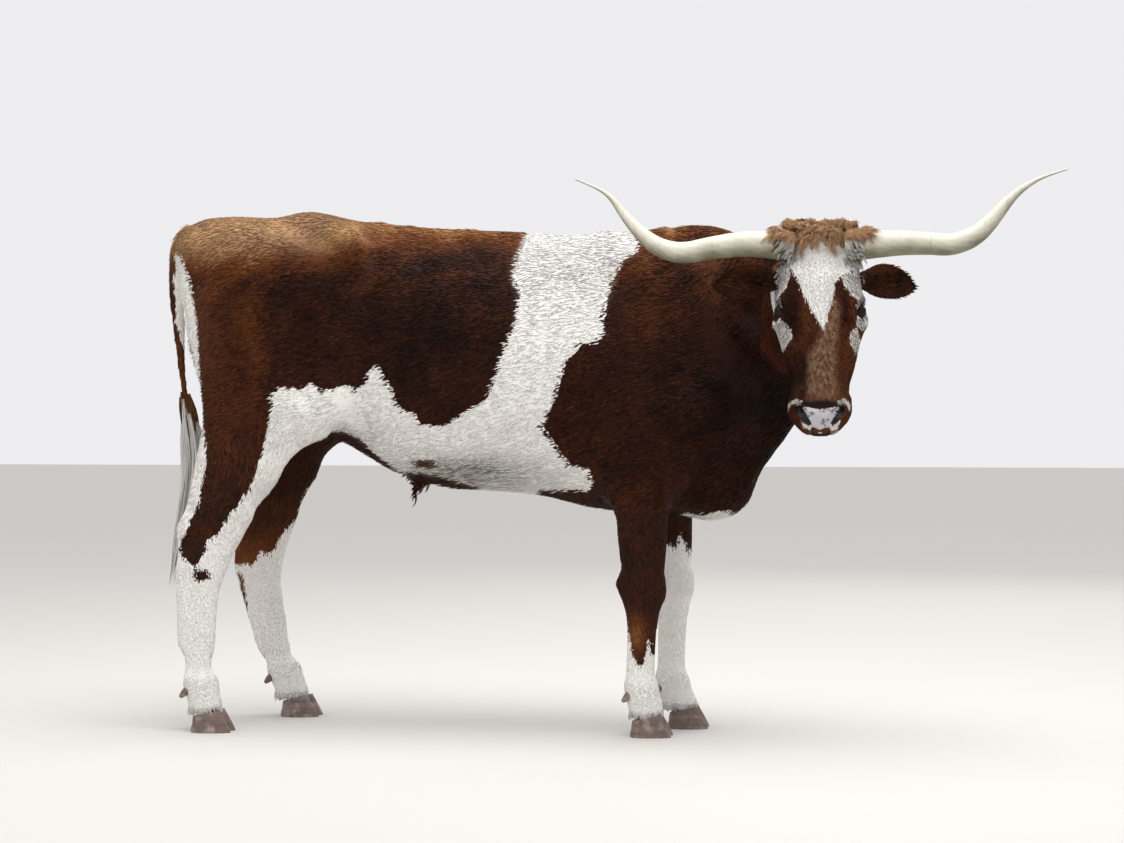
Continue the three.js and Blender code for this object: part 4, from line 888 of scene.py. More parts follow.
# %% Bare skin: the muzzle, the nostrils and the rims of the lids
# The muzzle is hairless skin kept wet by glands: a film of water over leather, IOR 1.4 to 1.5. It breaks into
# cobbles 3 mm wide, which scatter the shine, so roughness 0.4. Dark freckles are about 13 mm wide.
muzzle, tree = new_material("wet_muzzle_leather")
place = add(tree, "TexCoord").outputs["Object"]
cobbles = add(tree, "TexVoronoi", {"Vector": place, "Scale": 330.0}, feature="DISTANCE_TO_EDGE")
mottle = add(tree, "TexNoise", {"Vector": place, "Scale": 75.0, "Detail": 3.0})
freckles = add(tree, "MapRange", {"Value": mottle, "From Min": 0.55, "From Max": 0.66})
leather_colour = add(tree, "Mix", {0: freckles, 6: linear("#b9b4b8"), 7: linear("#5f5b60")}, data_type="RGBA")
bump = add(tree, "Bump", {"Strength": 0.5, "Distance": 0.0008, "Height": cobbles})
leather = add(tree, "BsdfPrincipled", {"Base Color": leather_colour, "Roughness": 0.4, "Normal": bump})
add(tree, "OutputMaterial", {"Surface": leather})

# The nostril's lining is the same wet skin, but in its own shadow: nearly black, mottled every 8 mm, with a dull
# shine, so roughness 0.5 and half the usual specular level.
lining, tree = new_material("dark_nostril_lining")
place = add(tree, "TexCoord").outputs["Object"]
mottle = add(tree, "TexNoise", {"Vector": place, "Scale": 120.0, "Detail": 2.0})
lining_colour = add(tree, "Mix", {0: mottle, 6: linear("#060506"), 7: linear("#1c1618")}, data_type="RGBA")
wet = add(tree, "BsdfPrincipled", {"Base Color": lining_colour, "Roughness": 0.5, "Specular IOR Level": 0.25})
add(tree, "OutputMaterial", {"Surface": wet})

# The lids' rims are black, thin, dry skin: roughness 0.5 and little shine, which makes the eye look larger. Real
# creases are 0.5 mm apart, drawn 2.4 mm apart so that they show.
lid_skin, tree = new_material("dark_eyelid_skin")
place = add(tree, "TexCoord").outputs["Object"]
creases = add(tree, "TexNoise", {"Vector": place, "Scale": 420.0, "Detail": 3.0})
bump = add(tree, "Bump", {"Strength": 0.4, "Distance": 0.0005, "Height": creases})
lid_colour = add(tree, "Mix", {0: creases, 6: linear("#080505"), 7: linear("#1a110e")}, data_type="RGBA")
dark_skin = add(tree, "BsdfPrincipled", {
    "Base Color": lid_colour, "Roughness": 0.5, "Specular IOR Level": 0.12, "Normal": bump})
add(tree, "OutputMaterial", {"Surface": dark_skin})

# %% Which material each face of the skin has, and hiding the flesh solids under it
for material in (coat, muzzle, lining, lid_skin):
    skin.data.materials.append(material)
PAD = [
    (472, -44), (476, -25), (482, 0), (476, 30), (470, 52), (480, 46), (509, 27), (516, 22), (520, 0), (516, -20),
    (492, -33),
]
NOSTRILS = [
    [(463, -55), (470, -42), (490, -33), (512, -18), (515, -29), (500, -49), (483, -58)],
    [(466, 53), (467, 67), (484, 63), (507, 47), (515, 30), (509, 26), (478, 44)],
]
middles = face_middles(skin)
face_points = head_places(middles)
front = (face_points[:, 2] > -75) & (face_points[:, 0] > 420) & (face_points[:, 0] < 560)
chosen = [
    most_open(middles) > -0.24,
    front & (inside_any(face_points[:, :2], NOSTRILS) > 1),
    front & (inside(face_points[:, :2], PAD) > 0),
]
skin.data.polygons.foreach_set("material_index", np.select(chosen, [3, 2, 1], 0).astype(np.int32))
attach(skin, "root")
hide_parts(*FLESH)
bpy.data.objects.remove(form)
print("skin finished:", 2 * len(skin.data.polygons), "triangles")

# %% [markdown]
# ## Eyes
# A steer's eye is a ball about 40 mm across with a bulging clear cornea, a dark brown iris and a wide, level
# pupil. A sphere is the start; the cornea is pulled out of it, and places on the ball, in millimetres from its
# axis, are kept as an attribute so that the iris and pupil are drawn in the shader.

# %% Eyeball material
# The cornea is a clear jelly under a film of tears, IOR 1.34 to 1.38, so its roughness is near 0, here 0.06. The
# specular level is low, because a deep set eye under long lashes mirrors little of the sky. The iris is dark brown
# with fibres about 1 mm apart, and the pupil is a level oval, 13 mm wide and 7 mm high. gaze is in millimetres.
eye_material, tree = new_material("wet_eye_brown_iris")
gaze = add(tree, "Attribute", attribute_name="gaze").outputs["Vector"]
from_axis = add(tree, "VectorMath", {0: gaze, 1: (1.0, 1.0, 0.0)}, operation="MULTIPLY")
radius = add(tree, "VectorMath", {0: from_axis}, operation="LENGTH")
from_pupil = add(tree, "VectorMath", {0: from_axis, 1: (1 / 6.6, 1 / 3.6, 0.0)}, operation="MULTIPLY")
pupil = add(tree, "VectorMath", {0: from_pupil}, operation="LENGTH")
in_pupil = add(tree, "MapRange", {"Value": pupil, "From Min": 1.06, "From Max": 0.94})
in_iris = add(tree, "MapRange", {"Value": radius, "From Min": 13.8, "From Max": 12.8})
fibres = add(tree, "TexNoise", {"Vector": gaze, "Scale": 0.9, "Detail": 4.0})
white_of_eye = add(tree, "Mix", {0: fibres, 6: linear("#120c09"), 7: linear("#382c25")}, data_type="RGBA")
iris = add(tree, "Mix", {0: fibres, 6: linear("#0f0704"), 7: linear("#2f1a0e")}, data_type="RGBA")
eye_colour = add(tree, "Mix", {0: in_iris, 6: white_of_eye, 7: iris}, data_type="RGBA")
eye_colour = add(tree, "Mix", {0: in_pupil, 6: eye_colour, 7: linear("#020203")}, data_type="RGBA")
wet_eye = add(tree, "BsdfPrincipled", {"Base Color": eye_colour, "Roughness": 0.06, "Specular IOR Level": 0.15})
add(tree, "OutputMaterial", {"Surface": wet_eye})

# %% Eyeballs
CORNEA_RADIUS, CORNEA_BULGE = 12.5 * MM, 1.8 * MM
for side, node in BALLS.items():
    centre = np.array(middle_of(node))
    bpy.ops.mesh.primitive_uv_sphere_add(
        segments=48, ring_count=32, radius=EYE_RADIUS - 0.4 * MM, location=centre)
    ball = bpy.context.object
    pick(ball)
    bpy.ops.object.transform_apply(location=True, rotation=True, scale=True)
    ball.name = ball.data.name = node.replace("eye", "eyeball")
    look, nose, up = (np.array(v) for v in eye_axes(side))
    local = (corners(ball) - centre) @ np.array([nose, up, look]).T
    from_axis = np.linalg.norm(local[:, :2], axis=1)
    cornea = ease(CORNEA_RADIUS - from_axis, 0, 6 * MM) * (local[:, 2] > 0)
    place_corners(ball, corners(ball) + np.outer(cornea * CORNEA_BULGE, look))
    keep(ball.data, "gaze", local / MM)
    shade_smooth(ball.data)
    ball.data.materials.append(eye_material)
    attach(ball, "root")
    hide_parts(node)
print("eyeballs done")

# %% [markdown]
# ## Horns
# Horn is keratin grown in rings round a bony core: rough and ringed at the root, smooth towards the tip. The
# measured horns have the right sweep, so copies of them are subdivided through their own corners, with a bump of
# growth rings that stay across the horn because they read a distance along it, kept as an attribute.

# %% Horn material
# Horn is keratin in layers, IOR 1.54. Weather leaves it dull and chalky, where polish would give a roughness of
# 0.2: here 0.48. grown holds metres along the horn, metres round it, and how far a place faces down. Growth rings
# are about 8 mm apart and deepest near the root, stains are 60 mm wide, and the underside is darker: painted shade.
# The fibres along the horn are 0.2 mm thick, drawn 2.4 mm wide so that they show.
horn_material, tree = new_material("horn_keratin_weathered")
grown = add(tree, "Attribute", attribute_name="grown").outputs["Vector"]
split = add(tree, "SeparateXYZ", {"Vector": grown})
length_along, under = split.outputs["X"], split.outputs["Z"]
place = add(tree, "TexCoord").outputs["Object"]
stains = add(tree, "TexNoise", {"Vector": place, "Scale": 16.0, "Detail": 4.0})
fine = add(tree, "TexNoise", {"Vector": place, "Scale": 110.0, "Detail": 4.0, "Roughness": 0.65})
bent = add(tree, "Math", {0: stains, 1: 3.2}, operation="MULTIPLY")
along_rings = add(tree, "Math", {0: length_along, 1: 130.0, 2: bent}, operation="MULTIPLY_ADD")
ring_place = add(tree, "CombineXYZ", {"X": along_rings})
rings = add(tree, "TexNoise", {"Vector": ring_place, "Scale": 1.0, "Detail": 3.0})
near_root = add(tree, "MapRange", {"Value": length_along, "From Min": 0.40, "From Max": 0.05})
fibre_place = add(tree, "Mapping", {"Vector": grown, "Scale": (12.0, 420.0, 0.0)})
fibre = add(tree, "TexNoise", {"Vector": fibre_place, "Scale": 1.0, "Detail": 3.0})
stains_and_underside_shade = add(tree, "Math", {0: stains, 1: 1.1, 2: -0.55}, operation="MULTIPLY_ADD")
# stains, and darker where the horn faces down: painted shade
stains_and_underside_shade = add(tree, "Math", {0: under, 1: stains_and_underside_shade}, operation="ADD", use_clamp=True)
horn_colour = add(tree, "Mix", {0: stains_and_underside_shade, 6: linear("#cfcbba"), 7: linear("#6c6850")}, data_type="RGBA")
dark_ring = add(tree, "MapRange", {"Value": rings, "From Min": 0.46, "From Max": 0.30, "To Max": 0.6})
dark_ring = add(tree, "Math", {0: dark_ring, 1: fine}, operation="MULTIPLY")
horn_colour = add(tree, "Mix", {0: dark_ring, 6: horn_colour, 7: linear("#6d6850")}, data_type="RGBA")
pale_fibre = add(tree, "MapRange", {"Value": fibre, "From Min": 0.52, "From Max": 0.85, "To Max": 0.5})
horn_colour = add(tree, "Mix", {0: pale_fibre, 6: horn_colour, 7: linear("#c9bfa2")}, data_type="RGBA")
ridged = add(tree, "Math", {0: rings, 1: near_root}, operation="MULTIPLY")
horn_height = add(tree, "Math", {0: fine, 1: 0.05, 2: ridged}, operation="MULTIPLY_ADD")
bump = add(tree, "Bump", {"Strength": 0.5, "Distance": 0.0012, "Height": horn_height})
keratin = add(tree, "BsdfPrincipled", {"Base Color": horn_colour, "Roughness": 0.48, "IOR": 1.54, "Normal": bump})
add(tree, "OutputMaterial", {"Surface": keratin})

# %% Horn pieces
def draw_out_tip(horn, reach=0.36, rounds=14):
    """Smooths the last part of a horn, so that it tapers to a fine point."""
    points = corners(horn)
    tip = points[np.argmax(np.abs(points[:, 0] - POLL.x))]
    edges = read(horn.data.edges, "vertices", 2, np.int32)
    count = np.bincount(edges.ravel(), minlength=len(points))[:, None]
    from_tip = np.linalg.norm(points - tip, axis=1)
    slender = ease(reach - from_tip, 0.0, 0.10) * (from_tip > 4 * MM)
    for _ in range(rounds):
        points = points + 0.5 * slender[:, None] * (sum_of_neighbours(points, edges) / count - points)
    place_corners(horn, points)

for name in ("right", "left"):
    horn = copies_of([f"horn_{name}"], f"horn_keratin_{name}")
    smooth_through(horn, 3, sharp=60, push=0.9)
    draw_out_tip(horn)
    from_root = np.abs((corners(horn) - POLL_PLACE) @ np.array(ACROSS)) - 0.06
    way = normals_of(horn)
    round_it = np.arctan2(way[:, 2], way[:, 1]) * 0.03
    # the third value, how far a place faces down, darkens the underside: painted shade
    keep(horn.data, "grown", np.stack([from_root, round_it, ease(-way[:, 2], -0.35, 0.9)], 1))
    horn.data.attributes.remove(horn.data.attributes["solid"])
    shade_smooth(horn.data)
    horn.data.materials.append(horn_material)
    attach(horn, "root")
    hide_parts(f"horn_{name}")
print("horns done")

# %% [markdown]
# ## Claws and dewclaws
# Each foot has two claws of layered keratin with a flat sole, and two small dewclaws behind. The measured shapes
# are kept, sole flat on the floor, and rounded by a subdivision whose sole rim is creased.

# %% Claw material
# A claw is keratin too, IOR 1.54, but worn by dry ground and dusty: roughness 0.55. Bands of growth lie 7 mm apart
# and nearly level, scuffs are 30 mm wide. The upright tubes in the wall are 0.3 mm wide, drawn at 3 mm.
claw_material, tree = new_material("hoof_keratin_dry")
place = add(tree, "TexCoord").outputs["Object"]
layer_place = add(tree, "Mapping", {
    "Vector": place, "Scale": (9.0, 9.0, 150.0), "Rotation": (0.0, 0.35, 0.0)})
layers = add(tree, "TexNoise", {"Vector": layer_place, "Scale": 1.0, "Detail": 4.0})
grain_place = add(tree, "Mapping", {"Vector": place, "Scale": (330.0, 330.0, 20.0)})
claw_grain = add(tree, "TexNoise", {"Vector": grain_place, "Scale": 1.0, "Detail": 2.0})
scuffs = add(tree, "TexNoise", {"Vector": place, "Scale": 34.0, "Detail": 3.0})
claw_colour = add(tree, "Mix", {0: layers, 6: linear("#3d2d28"), 7: linear("#8c756b")}, data_type="RGBA")
paler = add(tree, "MapRange", {"Value": scuffs, "From Min": 0.5, "From Max": 0.75, "To Max": 0.7})
claw_colour = add(tree, "Mix", {0: paler, 6: claw_colour, 7: linear("#b3a49a")}, data_type="RGBA")
dark_grain = add(tree, "MapRange", {"Value": claw_grain, "From Min": 0.5, "From Max": 0.8, "To Max": 0.5})
claw_colour = add(tree, "Mix", {0: dark_grain, 6: claw_colour, 7: linear("#2c201d")}, data_type="RGBA")
claw_height = add(tree, "Math", {0: claw_grain, 1: 0.4, 2: layers}, operation="MULTIPLY_ADD")
bump = add(tree, "Bump", {"Strength": 0.6, "Distance": 0.0014, "Height": claw_height})
claw_keratin = add(tree, "BsdfPrincipled", {
    "Base Color": claw_colour, "Roughness": 0.55, "IOR": 1.54, "Normal": bump})
add(tree, "OutputMaterial", {"Surface": claw_keratin})

# %% Claw pieces
FEET = [f"{leg}_{side}" for leg in ("fore", "hind") for side in ("right", "left")]

def tuck_in(points, foot):
    """Dewclaws are a little smaller than measured and closer to the leg, to leave room for the hair."""
    leg = middle_of(foot.replace("_", "leg_") + "_lower")
    centre = points.mean(0)
    inward = np.array((leg.x, leg.y, centre[2])) - centre
    return centre + 0.84 * (points - centre) + 7 * MM * inward / np.linalg.norm(inward)

for node in [f"{kind}_{foot}_{half}" for foot in FEET for kind in ("hoof", "dewclaw") for half in ("outer", "inner")]:
    kind, foot = node.split("_", 1)[0], "_".join(node.split("_")[1:3])
    claw = copies_of([node], node.replace(kind, f"{kind}_keratin"))
    smooth_through(claw, 2, sharp=48, push=0.8)
    points = corners(claw) if kind == "hoof" else tuck_in(corners(claw), foot)
    points[:, 2] = np.maximum(points[:, 2], 0.0)
    place_corners(claw, points)
    claw.data.attributes.remove(claw.data.attributes["solid"])
    pick(claw)
    bpy.ops.object.shade_smooth_by_angle(angle=math.radians(42))
    claw.data.materials.append(claw_material)
    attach(claw, "root")
    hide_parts(node)
print("claws done")

# %% [markdown]
# ## Solid hair
# A tuft is a thin three-sided blade with a sharp tip, a few dozen hairs clinging together. Tufts and long locks
# are the same form with more bends, so one maker builds them all as joined meshes from arrays. Each tuft's faces
# share a tiny patch of the map OFBake, at its root's place on an unwrap of the skin.

# %% The hair maker
RING = ((-0.5, -0.35), (0.5, -0.35), (0.0, 0.65))  # a blade's three edges: shares across it and up from it
PATCH = 0.003  # the width of a tuft's patch on the map

def blade_faces(bends):
    """Triangles of one blade: a base, a wall of pairs between the rings, and a tip."""
    faces = [(0, 2, 1)]
    for ring in range(0, 3 * (bends - 2), 3):
        for i in range(3):
            a, b = ring + i, ring + (i + 1) % 3
            faces += [(a, b, b + 3), (a, b + 3, a + 3)]
    last = 3 * (bends - 2)
    return np.array(faces + [(last + i, last + (i + 1) % 3, last + 3) for i in range(3)])

def hair_piece(name, paths, widths, thickness, sides, ups, kept, unwrapped, material=coat):
    """paths is (tufts, points, 3), the last point the tip; widths and thickness (tufts, points - 1)."""
    count, bends = paths.shape[:2]
    rings = [
        paths[:, k] + sides * (across * widths[:, k])[:, None] + ups * (up * thickness[:, k])[:, None]
        for k in range(bends - 1) for across, up in RING]
    points = np.stack(rings + [paths[:, -1]], 1)
    size = points.shape[1]
    triangles = (np.arange(count)[:, None, None] * size + blade_faces(bends)[None]).reshape(-1, 3)
    mesh = bpy.data.meshes.new(name)
    mesh.vertices.add(count * size)
    mesh.vertices.foreach_set("co", points.astype(np.float32).ravel())
    mesh.loops.add(triangles.size)
    mesh.loops.foreach_set("vertex_index", triangles.astype(np.int32).ravel())
    mesh.polygons.add(len(triangles))
    mesh.polygons.foreach_set("loop_start", np.arange(0, triangles.size, 3, dtype=np.int32))
    mesh.update(calc_edges=True)
    shade_smooth(mesh)
    for attribute, values in kept.items():
        keep(mesh, attribute, np.repeat(values, size, 0))
    # comb: metres across the blade, along it, and a layer of its own for each blade
    ring_of = np.minimum(np.arange(size) // 3, bends - 1)
    across_at = np.array([across for across, up in RING] * (bends - 1) + [0.0])
    steps = np.cumsum(np.linalg.norm(np.diff(paths, axis=1), axis=2), 1)
    lengths = np.concatenate([np.zeros((count, 1)), steps], 1)
    layer = np.repeat(kept["shade"][:, None] * 9, size, 1)
    comb = np.stack([across_at[None] * widths.max(1)[:, None], lengths[:, ring_of], layer], 2)
    keep(mesh, "comb", comb.reshape(-1, 3))
    patch = np.stack([across_at * PATCH, ring_of / (bends - 1) * PATCH - PATCH / 2], 1)
    at = (unwrapped[:, None, :] + patch[None]).reshape(-1, 2)
    baked = mesh.uv_layers.new(name="OFBake")
    baked.data.foreach_set("uv", at[triangles.ravel()].astype(np.float32).ravel())
    piece = bpy.data.objects.new(name, mesh)
    scene.collection.objects.link(piece)
    mesh.materials.append(material)
    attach(piece, "root")
    print(name, count, "tufts,", len(triangles), "triangles")
    return piece

# %% Roots spread evenly over the skin
skin.data.calc_loop_triangles()
skin_triangles = read(skin.data.loop_triangles, "vertices", 3, np.int32)
skin_points, skin_normals = corners(skin), normals_of(skin)

def nearby_order(places, cell=4 * MM):
    """An order in which places that are close in space are close in the list, along a Morton curve."""
    steps = ((places - places.min(0)) / cell).astype(np.int64)
    code = np.zeros(len(places), np.int64)
    for bit in range(10):
        for axis in range(3):
            code |= ((steps[:, axis] >> bit) & 1) << (3 * bit + axis)
    return np.argsort(code, kind="stable")

def scatter(density, seed):
    """Roots on the skin, density of them per square metre (a number for each skin point): triangles and weights."""
    rng = np.random.default_rng(seed)
    a, b, c = (skin_points[skin_triangles[:, k]] for k in range(3))
    area = np.linalg.norm(np.cross(b - a, c - a), axis=1) / 2
    wanted = area * density[skin_triangles].mean(1)
    order = nearby_order((a + b + c) / 3)
    total = np.cumsum(wanted[order])
    count = int(total[-1])
    places = np.searchsorted(total, np.arange(count) + rng.random(count) * 0.999)
    chosen = order[places.clip(0, len(order) - 1)]
    r, s = np.sqrt(rng.random(count)), rng.random(count)
    return chosen, np.stack([1 - r, r * (1 - s), r * s], 1), rng

def at_roots(values, chosen, weights):
    """Values of the skin's points, at the roots."""
    three = values[skin_triangles[chosen]]
    return np.einsum("nk,nk...->n...", weights, three)

# %% Combing short tufts over one region of the skin
COVER = 0.63  # the share of the skin's area that the tufts of one layer would cover, laid side by side
UNEVEN = 0.13  # how far the tufts' directions scatter, in radians

def unit(vectors):
    return vectors / np.maximum(np.linalg.norm(vectors, axis=1), 1e-6)[:, None]

def comb_over(name, region, length, width, lift, unwrap, seed):
    """Short tufts over a region (0 to 1 on the skin's points), with length, width and lift in millimetres there."""
    chosen, weights, rng = scatter(region / (length * width * COVER * MM * MM), seed)
    at = at_roots(skin_points, chosen, weights)
    up = unit(at_roots(skin_normals, chosen, weights))
    way = at_roots(lie, chosen, weights)
    way = unit(way - (way * up).sum(1)[:, None] * up)
    beside = np.cross(up, way)
    swirl = np.sin(at @ np.array([38.0, 21.0, 29.0])) + np.sin(at @ np.array([-19.0, 33.0, 47.0]))
    turn = (rng.normal(0, UNEVEN, len(at)) + 0.10 * swirl)[:, None]
    way, beside = way * np.cos(turn) + beside * np.sin(turn), beside * np.cos(turn) - way * np.sin(turn)
    long = at_roots(length, chosen, weights) * MM * rng.uniform(0.75, 1.3, len(at))
    wide = at_roots(width, chosen, weights) * MM * rng.uniform(0.75, 1.25, len(at))
    high = at_roots(lift, chosen, weights) * MM * rng.uniform(0.4, 1.5, len(at))
    bend = rng.normal(0, 0.06, len(at)) * long
    start = at - up * 1.2 * MM
    middle = at + way * (0.52 * long)[:, None] + up * (0.55 * high + 0.3 * MM)[:, None]
    tip = at + way * long[:, None] + up * high[:, None] + beside * bend[:, None]
    widths = np.stack([0.55 * wide, wide], 1)
    thick = np.stack([0.6 * MM + 0 * wide, 0.3 * MM + 0.07 * wide], 1)
    brown, tan, grey = marks(at, label[skin_triangles[chosen, np.argmax(weights, 1)]])
    brown = brown + rng.normal(0, 3.0, len(at))
    shade = rng.uniform(-1, 1, len(at))
    tan = np.clip(tan + rng.normal(0, 0.07, len(at)), 0, 1)
    kept = {"root": at, "brown": brown, "tan": tan, "grey": grey, "shade": shade}
    hair_piece(name, np.stack([start, middle, tip], 1), widths, thick, beside, up, kept, unwrap(at))

# %% Unwraps of the skin, for the map that the tufts' patches lie on
MARGIN, INNER = 0.02, 0.96  # the map's border, and what is left inside it

def turned(first, second):
    """An angle as a share of a full turn."""
    return np.arctan2(first, second) / (2 * math.pi) + 0.5

def round_the_body(at):
    """Unrolled round the body's long axis."""
    angle = turned(at[:, 2] - 0.95, at[:, 1] - MIDDLE_Y)
    return np.stack([MARGIN + INNER * angle, MARGIN + INNER * (at[:, 0] + 1.25) / 2.5], 1)

def round_the_head(at):
    """Unrolled round the face's own axis."""
    a, c, o = head_places(at).T
    return np.stack([MARGIN + INNER * turned(c, -(o + 90)), MARGIN + INNER * np.clip((a + 150) / 750, 0, 1)], 1)

LEG_CENTRES = np.array([middle_of(name)[:2] for name in LEG_NAMES if name.endswith("lower")])

def round_the_legs(at):
    """Unrolled round each leg's axis, the four legs side by side."""
    apart = at[:, None, :2] - LEG_CENTRES[None]
    nearest = np.argmin(np.linalg.norm(apart, axis=2), axis=1)
    x, y = apart[np.arange(len(at)), nearest].T
    return np.stack([(nearest + 0.03 + 0.94 * turned(y, x)) / 4, MARGIN + INNER * at[:, 2] / 1.1], 1)

# %% [markdown]
# ## The short coat
# A longhorn's coat is short and flat: about 25 mm on the trunk, 12 mm on the shanks and under 10 mm on the face.
# Tufts of those lengths overlap like tiles all over, and lift most underneath, at the belly and the brisket,
# where the photo shows the hair breaking the outline.

# %% Lengths, widths and lifts, on the skin's points
along, across, out = head_places(skin_points).T
height = skin_points[:, 2] / MM
trunk = is_part("torso", "neck", "sheath", "tail")
legs = is_part("foreleg", "hindleg")
face = is_part("head")
ear = is_part("ear")
length = 24 * trunk + legs * (11 + 10 * ease(height, 420, 680)) + 10 * face + 13 * ear
width = 4.0 * trunk + legs * (3.4 + 0.8 * ease(height, 420, 680)) + 2.4 * face + 2.8 * ear
lift = 1.1 * trunk + legs * (0.3 + 0.7 * ease(height, 420, 680)) + 0.7 * face + 0.9 * ear
length *= 1 - 0.5 * (1 - face) * (1 - 0.5 * legs) * np.exp(-((brown / 15) ** 2))  # so borders stay crisp
horn_root = face * np.exp(-(((along - 30) / 42) ** 2 + ((np.abs(across) - 100) / 34) ** 2))
length += 14 * horn_root
lift += 3 * horn_root
face_fine = face * ease(along, 380, 470)
length -= 4 * face_fine
width -= 0.6 * face_fine
under = trunk * ease(-skin_normals[:, 2], 0.55, 0.9)
length += 6 * under
lift += 3 * under
length *= 1 - 0.25 * legs * (height < 140)
length, width, lift = (spread(values, 10) for values in (length, width, lift))
from_eye = np.min([np.linalg.norm(skin_points - place, axis=1) for place in EYE_PLACES], 0)
round_eyes = ease(40 * MM - from_eye, 0, 12 * MM)
length *= 1 - 0.55 * round_eyes
width *= 1 - 0.35 * round_eyes
lift *= 1 - 0.6 * round_eyes
bare_skin = (most_open(skin_points) > -0.22) | (bare > 0.5)
on_muzzle = (face > 0) & (out > -75) & (along > 420)
bare_skin |= on_muzzle & (inside_any(np.stack([along, across], 1), [PAD, *NOSTRILS]) > -1.5)
hairy = 1.0 - bare_skin

# %% The coat pieces
near = (skin_points[:, 1] < MIDDLE_Y).astype(float)
front = (skin_points[:, 0] > -0.14).astype(float)
lower = (height < 470).astype(float)
for name, region, unwrap, seed in (
    ("coat_trunk_near_rear", trunk * near * (1 - front), round_the_body, 11),
    ("coat_trunk_near_front", trunk * near * front, round_the_body, 12),
    ("coat_trunk_far_rear", trunk * (1 - near) * (1 - front), round_the_body, 13),
    ("coat_trunk_far_front", trunk * (1 - near) * front, round_the_body, 14),
    ("coat_thighs_and_arms", legs * (1 - lower), round_the_legs, 15),
    ("coat_shanks_front", is_part("foreleg") * lower, round_the_legs, 16),
    ("coat_shanks_hind", is_part("hindleg") * lower, round_the_legs, 17),
    ("coat_face_near", face * (across < 0), round_the_head, 18),
    ("coat_face_far", face * (across >= 0), round_the_head, 19),
    ("coat_ears", ear, round_the_head, 20),
):
    comb_over(name, region * hairy, length, width, lift, unwrap, seed)

# %% [markdown]
# ## Long hair
# The forelock, the tail's switch, the tuft on the sheath, the hair in the ears and the lashes are long, so each is
# built of locks: strands that start apart, run together along one curve, and end in a point.

# %% Locks of strands
def along_curves(curves, at):
    """Places at shares of the way along curves (strands, points, 3), on a smooth line through their points."""
    knots = curves.shape[1] - 1
    spot = np.clip(at * knots, 0, knots - 1e-6)
    low = spot.astype(int)
    t = (spot - low)[..., None]
    rows = np.arange(len(curves))[:, None]
    before, here, there, after = (curves[rows, np.clip(low + k, 0, knots)] for k in (-1, 0, 1, 2))
    return 0.5 * (
        2 * here + (there - before) * t + (2 * before - 5 * here + 4 * there - after) * t ** 2
        + (3 * here - before - 3 * there + after) * t ** 3)

def locks(name, curves, unwrap, seed, strands, bends, root, tip, width, wave, colour, own_length=(0.72, 1.0)):
    """Strands round curves (locks, points, 3). root and tip are how far they spread, colour is brown, tan, grey."""
    rng = np.random.default_rng(seed)
    curves = np.asarray(curves, float)
    number = np.repeat(np.arange(len(curves)), strands)
    count = len(number)
    t = np.linspace(0, 1, bends)
    line = along_curves(curves[number], rng.uniform(*own_length, count)[:, None] * t[None])
    course = unit(line[:, -1] - line[:, 0])
    side = unit(np.cross(course, rng.normal(0, 1, (count, 3))))
    reach = np.sqrt(rng.random(count))
    radius = (root + (tip - root) * ease(t, 0.0, 1.0))[None] * reach[:, None]
    phase = rng.uniform(0, 6.28, len(curves))[number]
    swing = wave * np.sin(phase[:, None] + 9 * t[None]) * t[None]
    paths = line + side[:, None] * radius[..., None] + np.cross(side, course)[:, None] * swing[..., None]
    slim = width * rng.uniform(0.7, 1.3, count)
    widths = slim[:, None] * np.interp(t[:-1], (0, 0.3, 0.8, 1), (0.8, 1.0, 0.75, 0.3))[None]
    brown, tan, grey = (np.full(count, share, float) for share in colour)
    brown = brown + rng.normal(0, 0.0, count)
    tan = np.clip(tan + rng.normal(0, 0.12, count), 0, 1)
    shade = rng.uniform(-1, 1, count) * 0.5 + rng.uniform(-1, 1, len(curves))[number] * 0.5
    kept = {"root": paths[:, 0], "brown": brown, "tan": tan, "grey": grey, "shade": shade}
    flat_side = np.cross(side, course)
    return hair_piece(
        name, paths, widths, 0.5 * widths, flat_side, side, kept, unwrap(paths[:, 0]), long_hair)

def tree_of(obj):
    return BVHTree.FromObject(obj, bpy.context.evaluated_depsgraph_get())

skin_tree = tree_of(skin)
head_trees = (skin_tree, *[tree_of(scene.objects[f"horn_keratin_{side}"]) for side in ("right", "left")])

def onto_skin(start, way, fallback, trees=(skin_tree,)):
    """Where a ray first meets the skin (or the skin and horns), or the fallback."""
    hits = [tree.ray_cast(Vector(start), Vector(way).normalized()) for tree in trees]
    hits = [hit for hit in hits if hit[0] is not None]
    return min(hits, key=lambda hit: hit[3])[0] if hits else Vector(fallback)

def onto_head(along, across, deepest):
    """The place on the skin or a horn that is seen from in front of the face, here."""
    return onto_skin(on_head(along, across, 130), -OUT, on_head(along, across, deepest), head_trees)

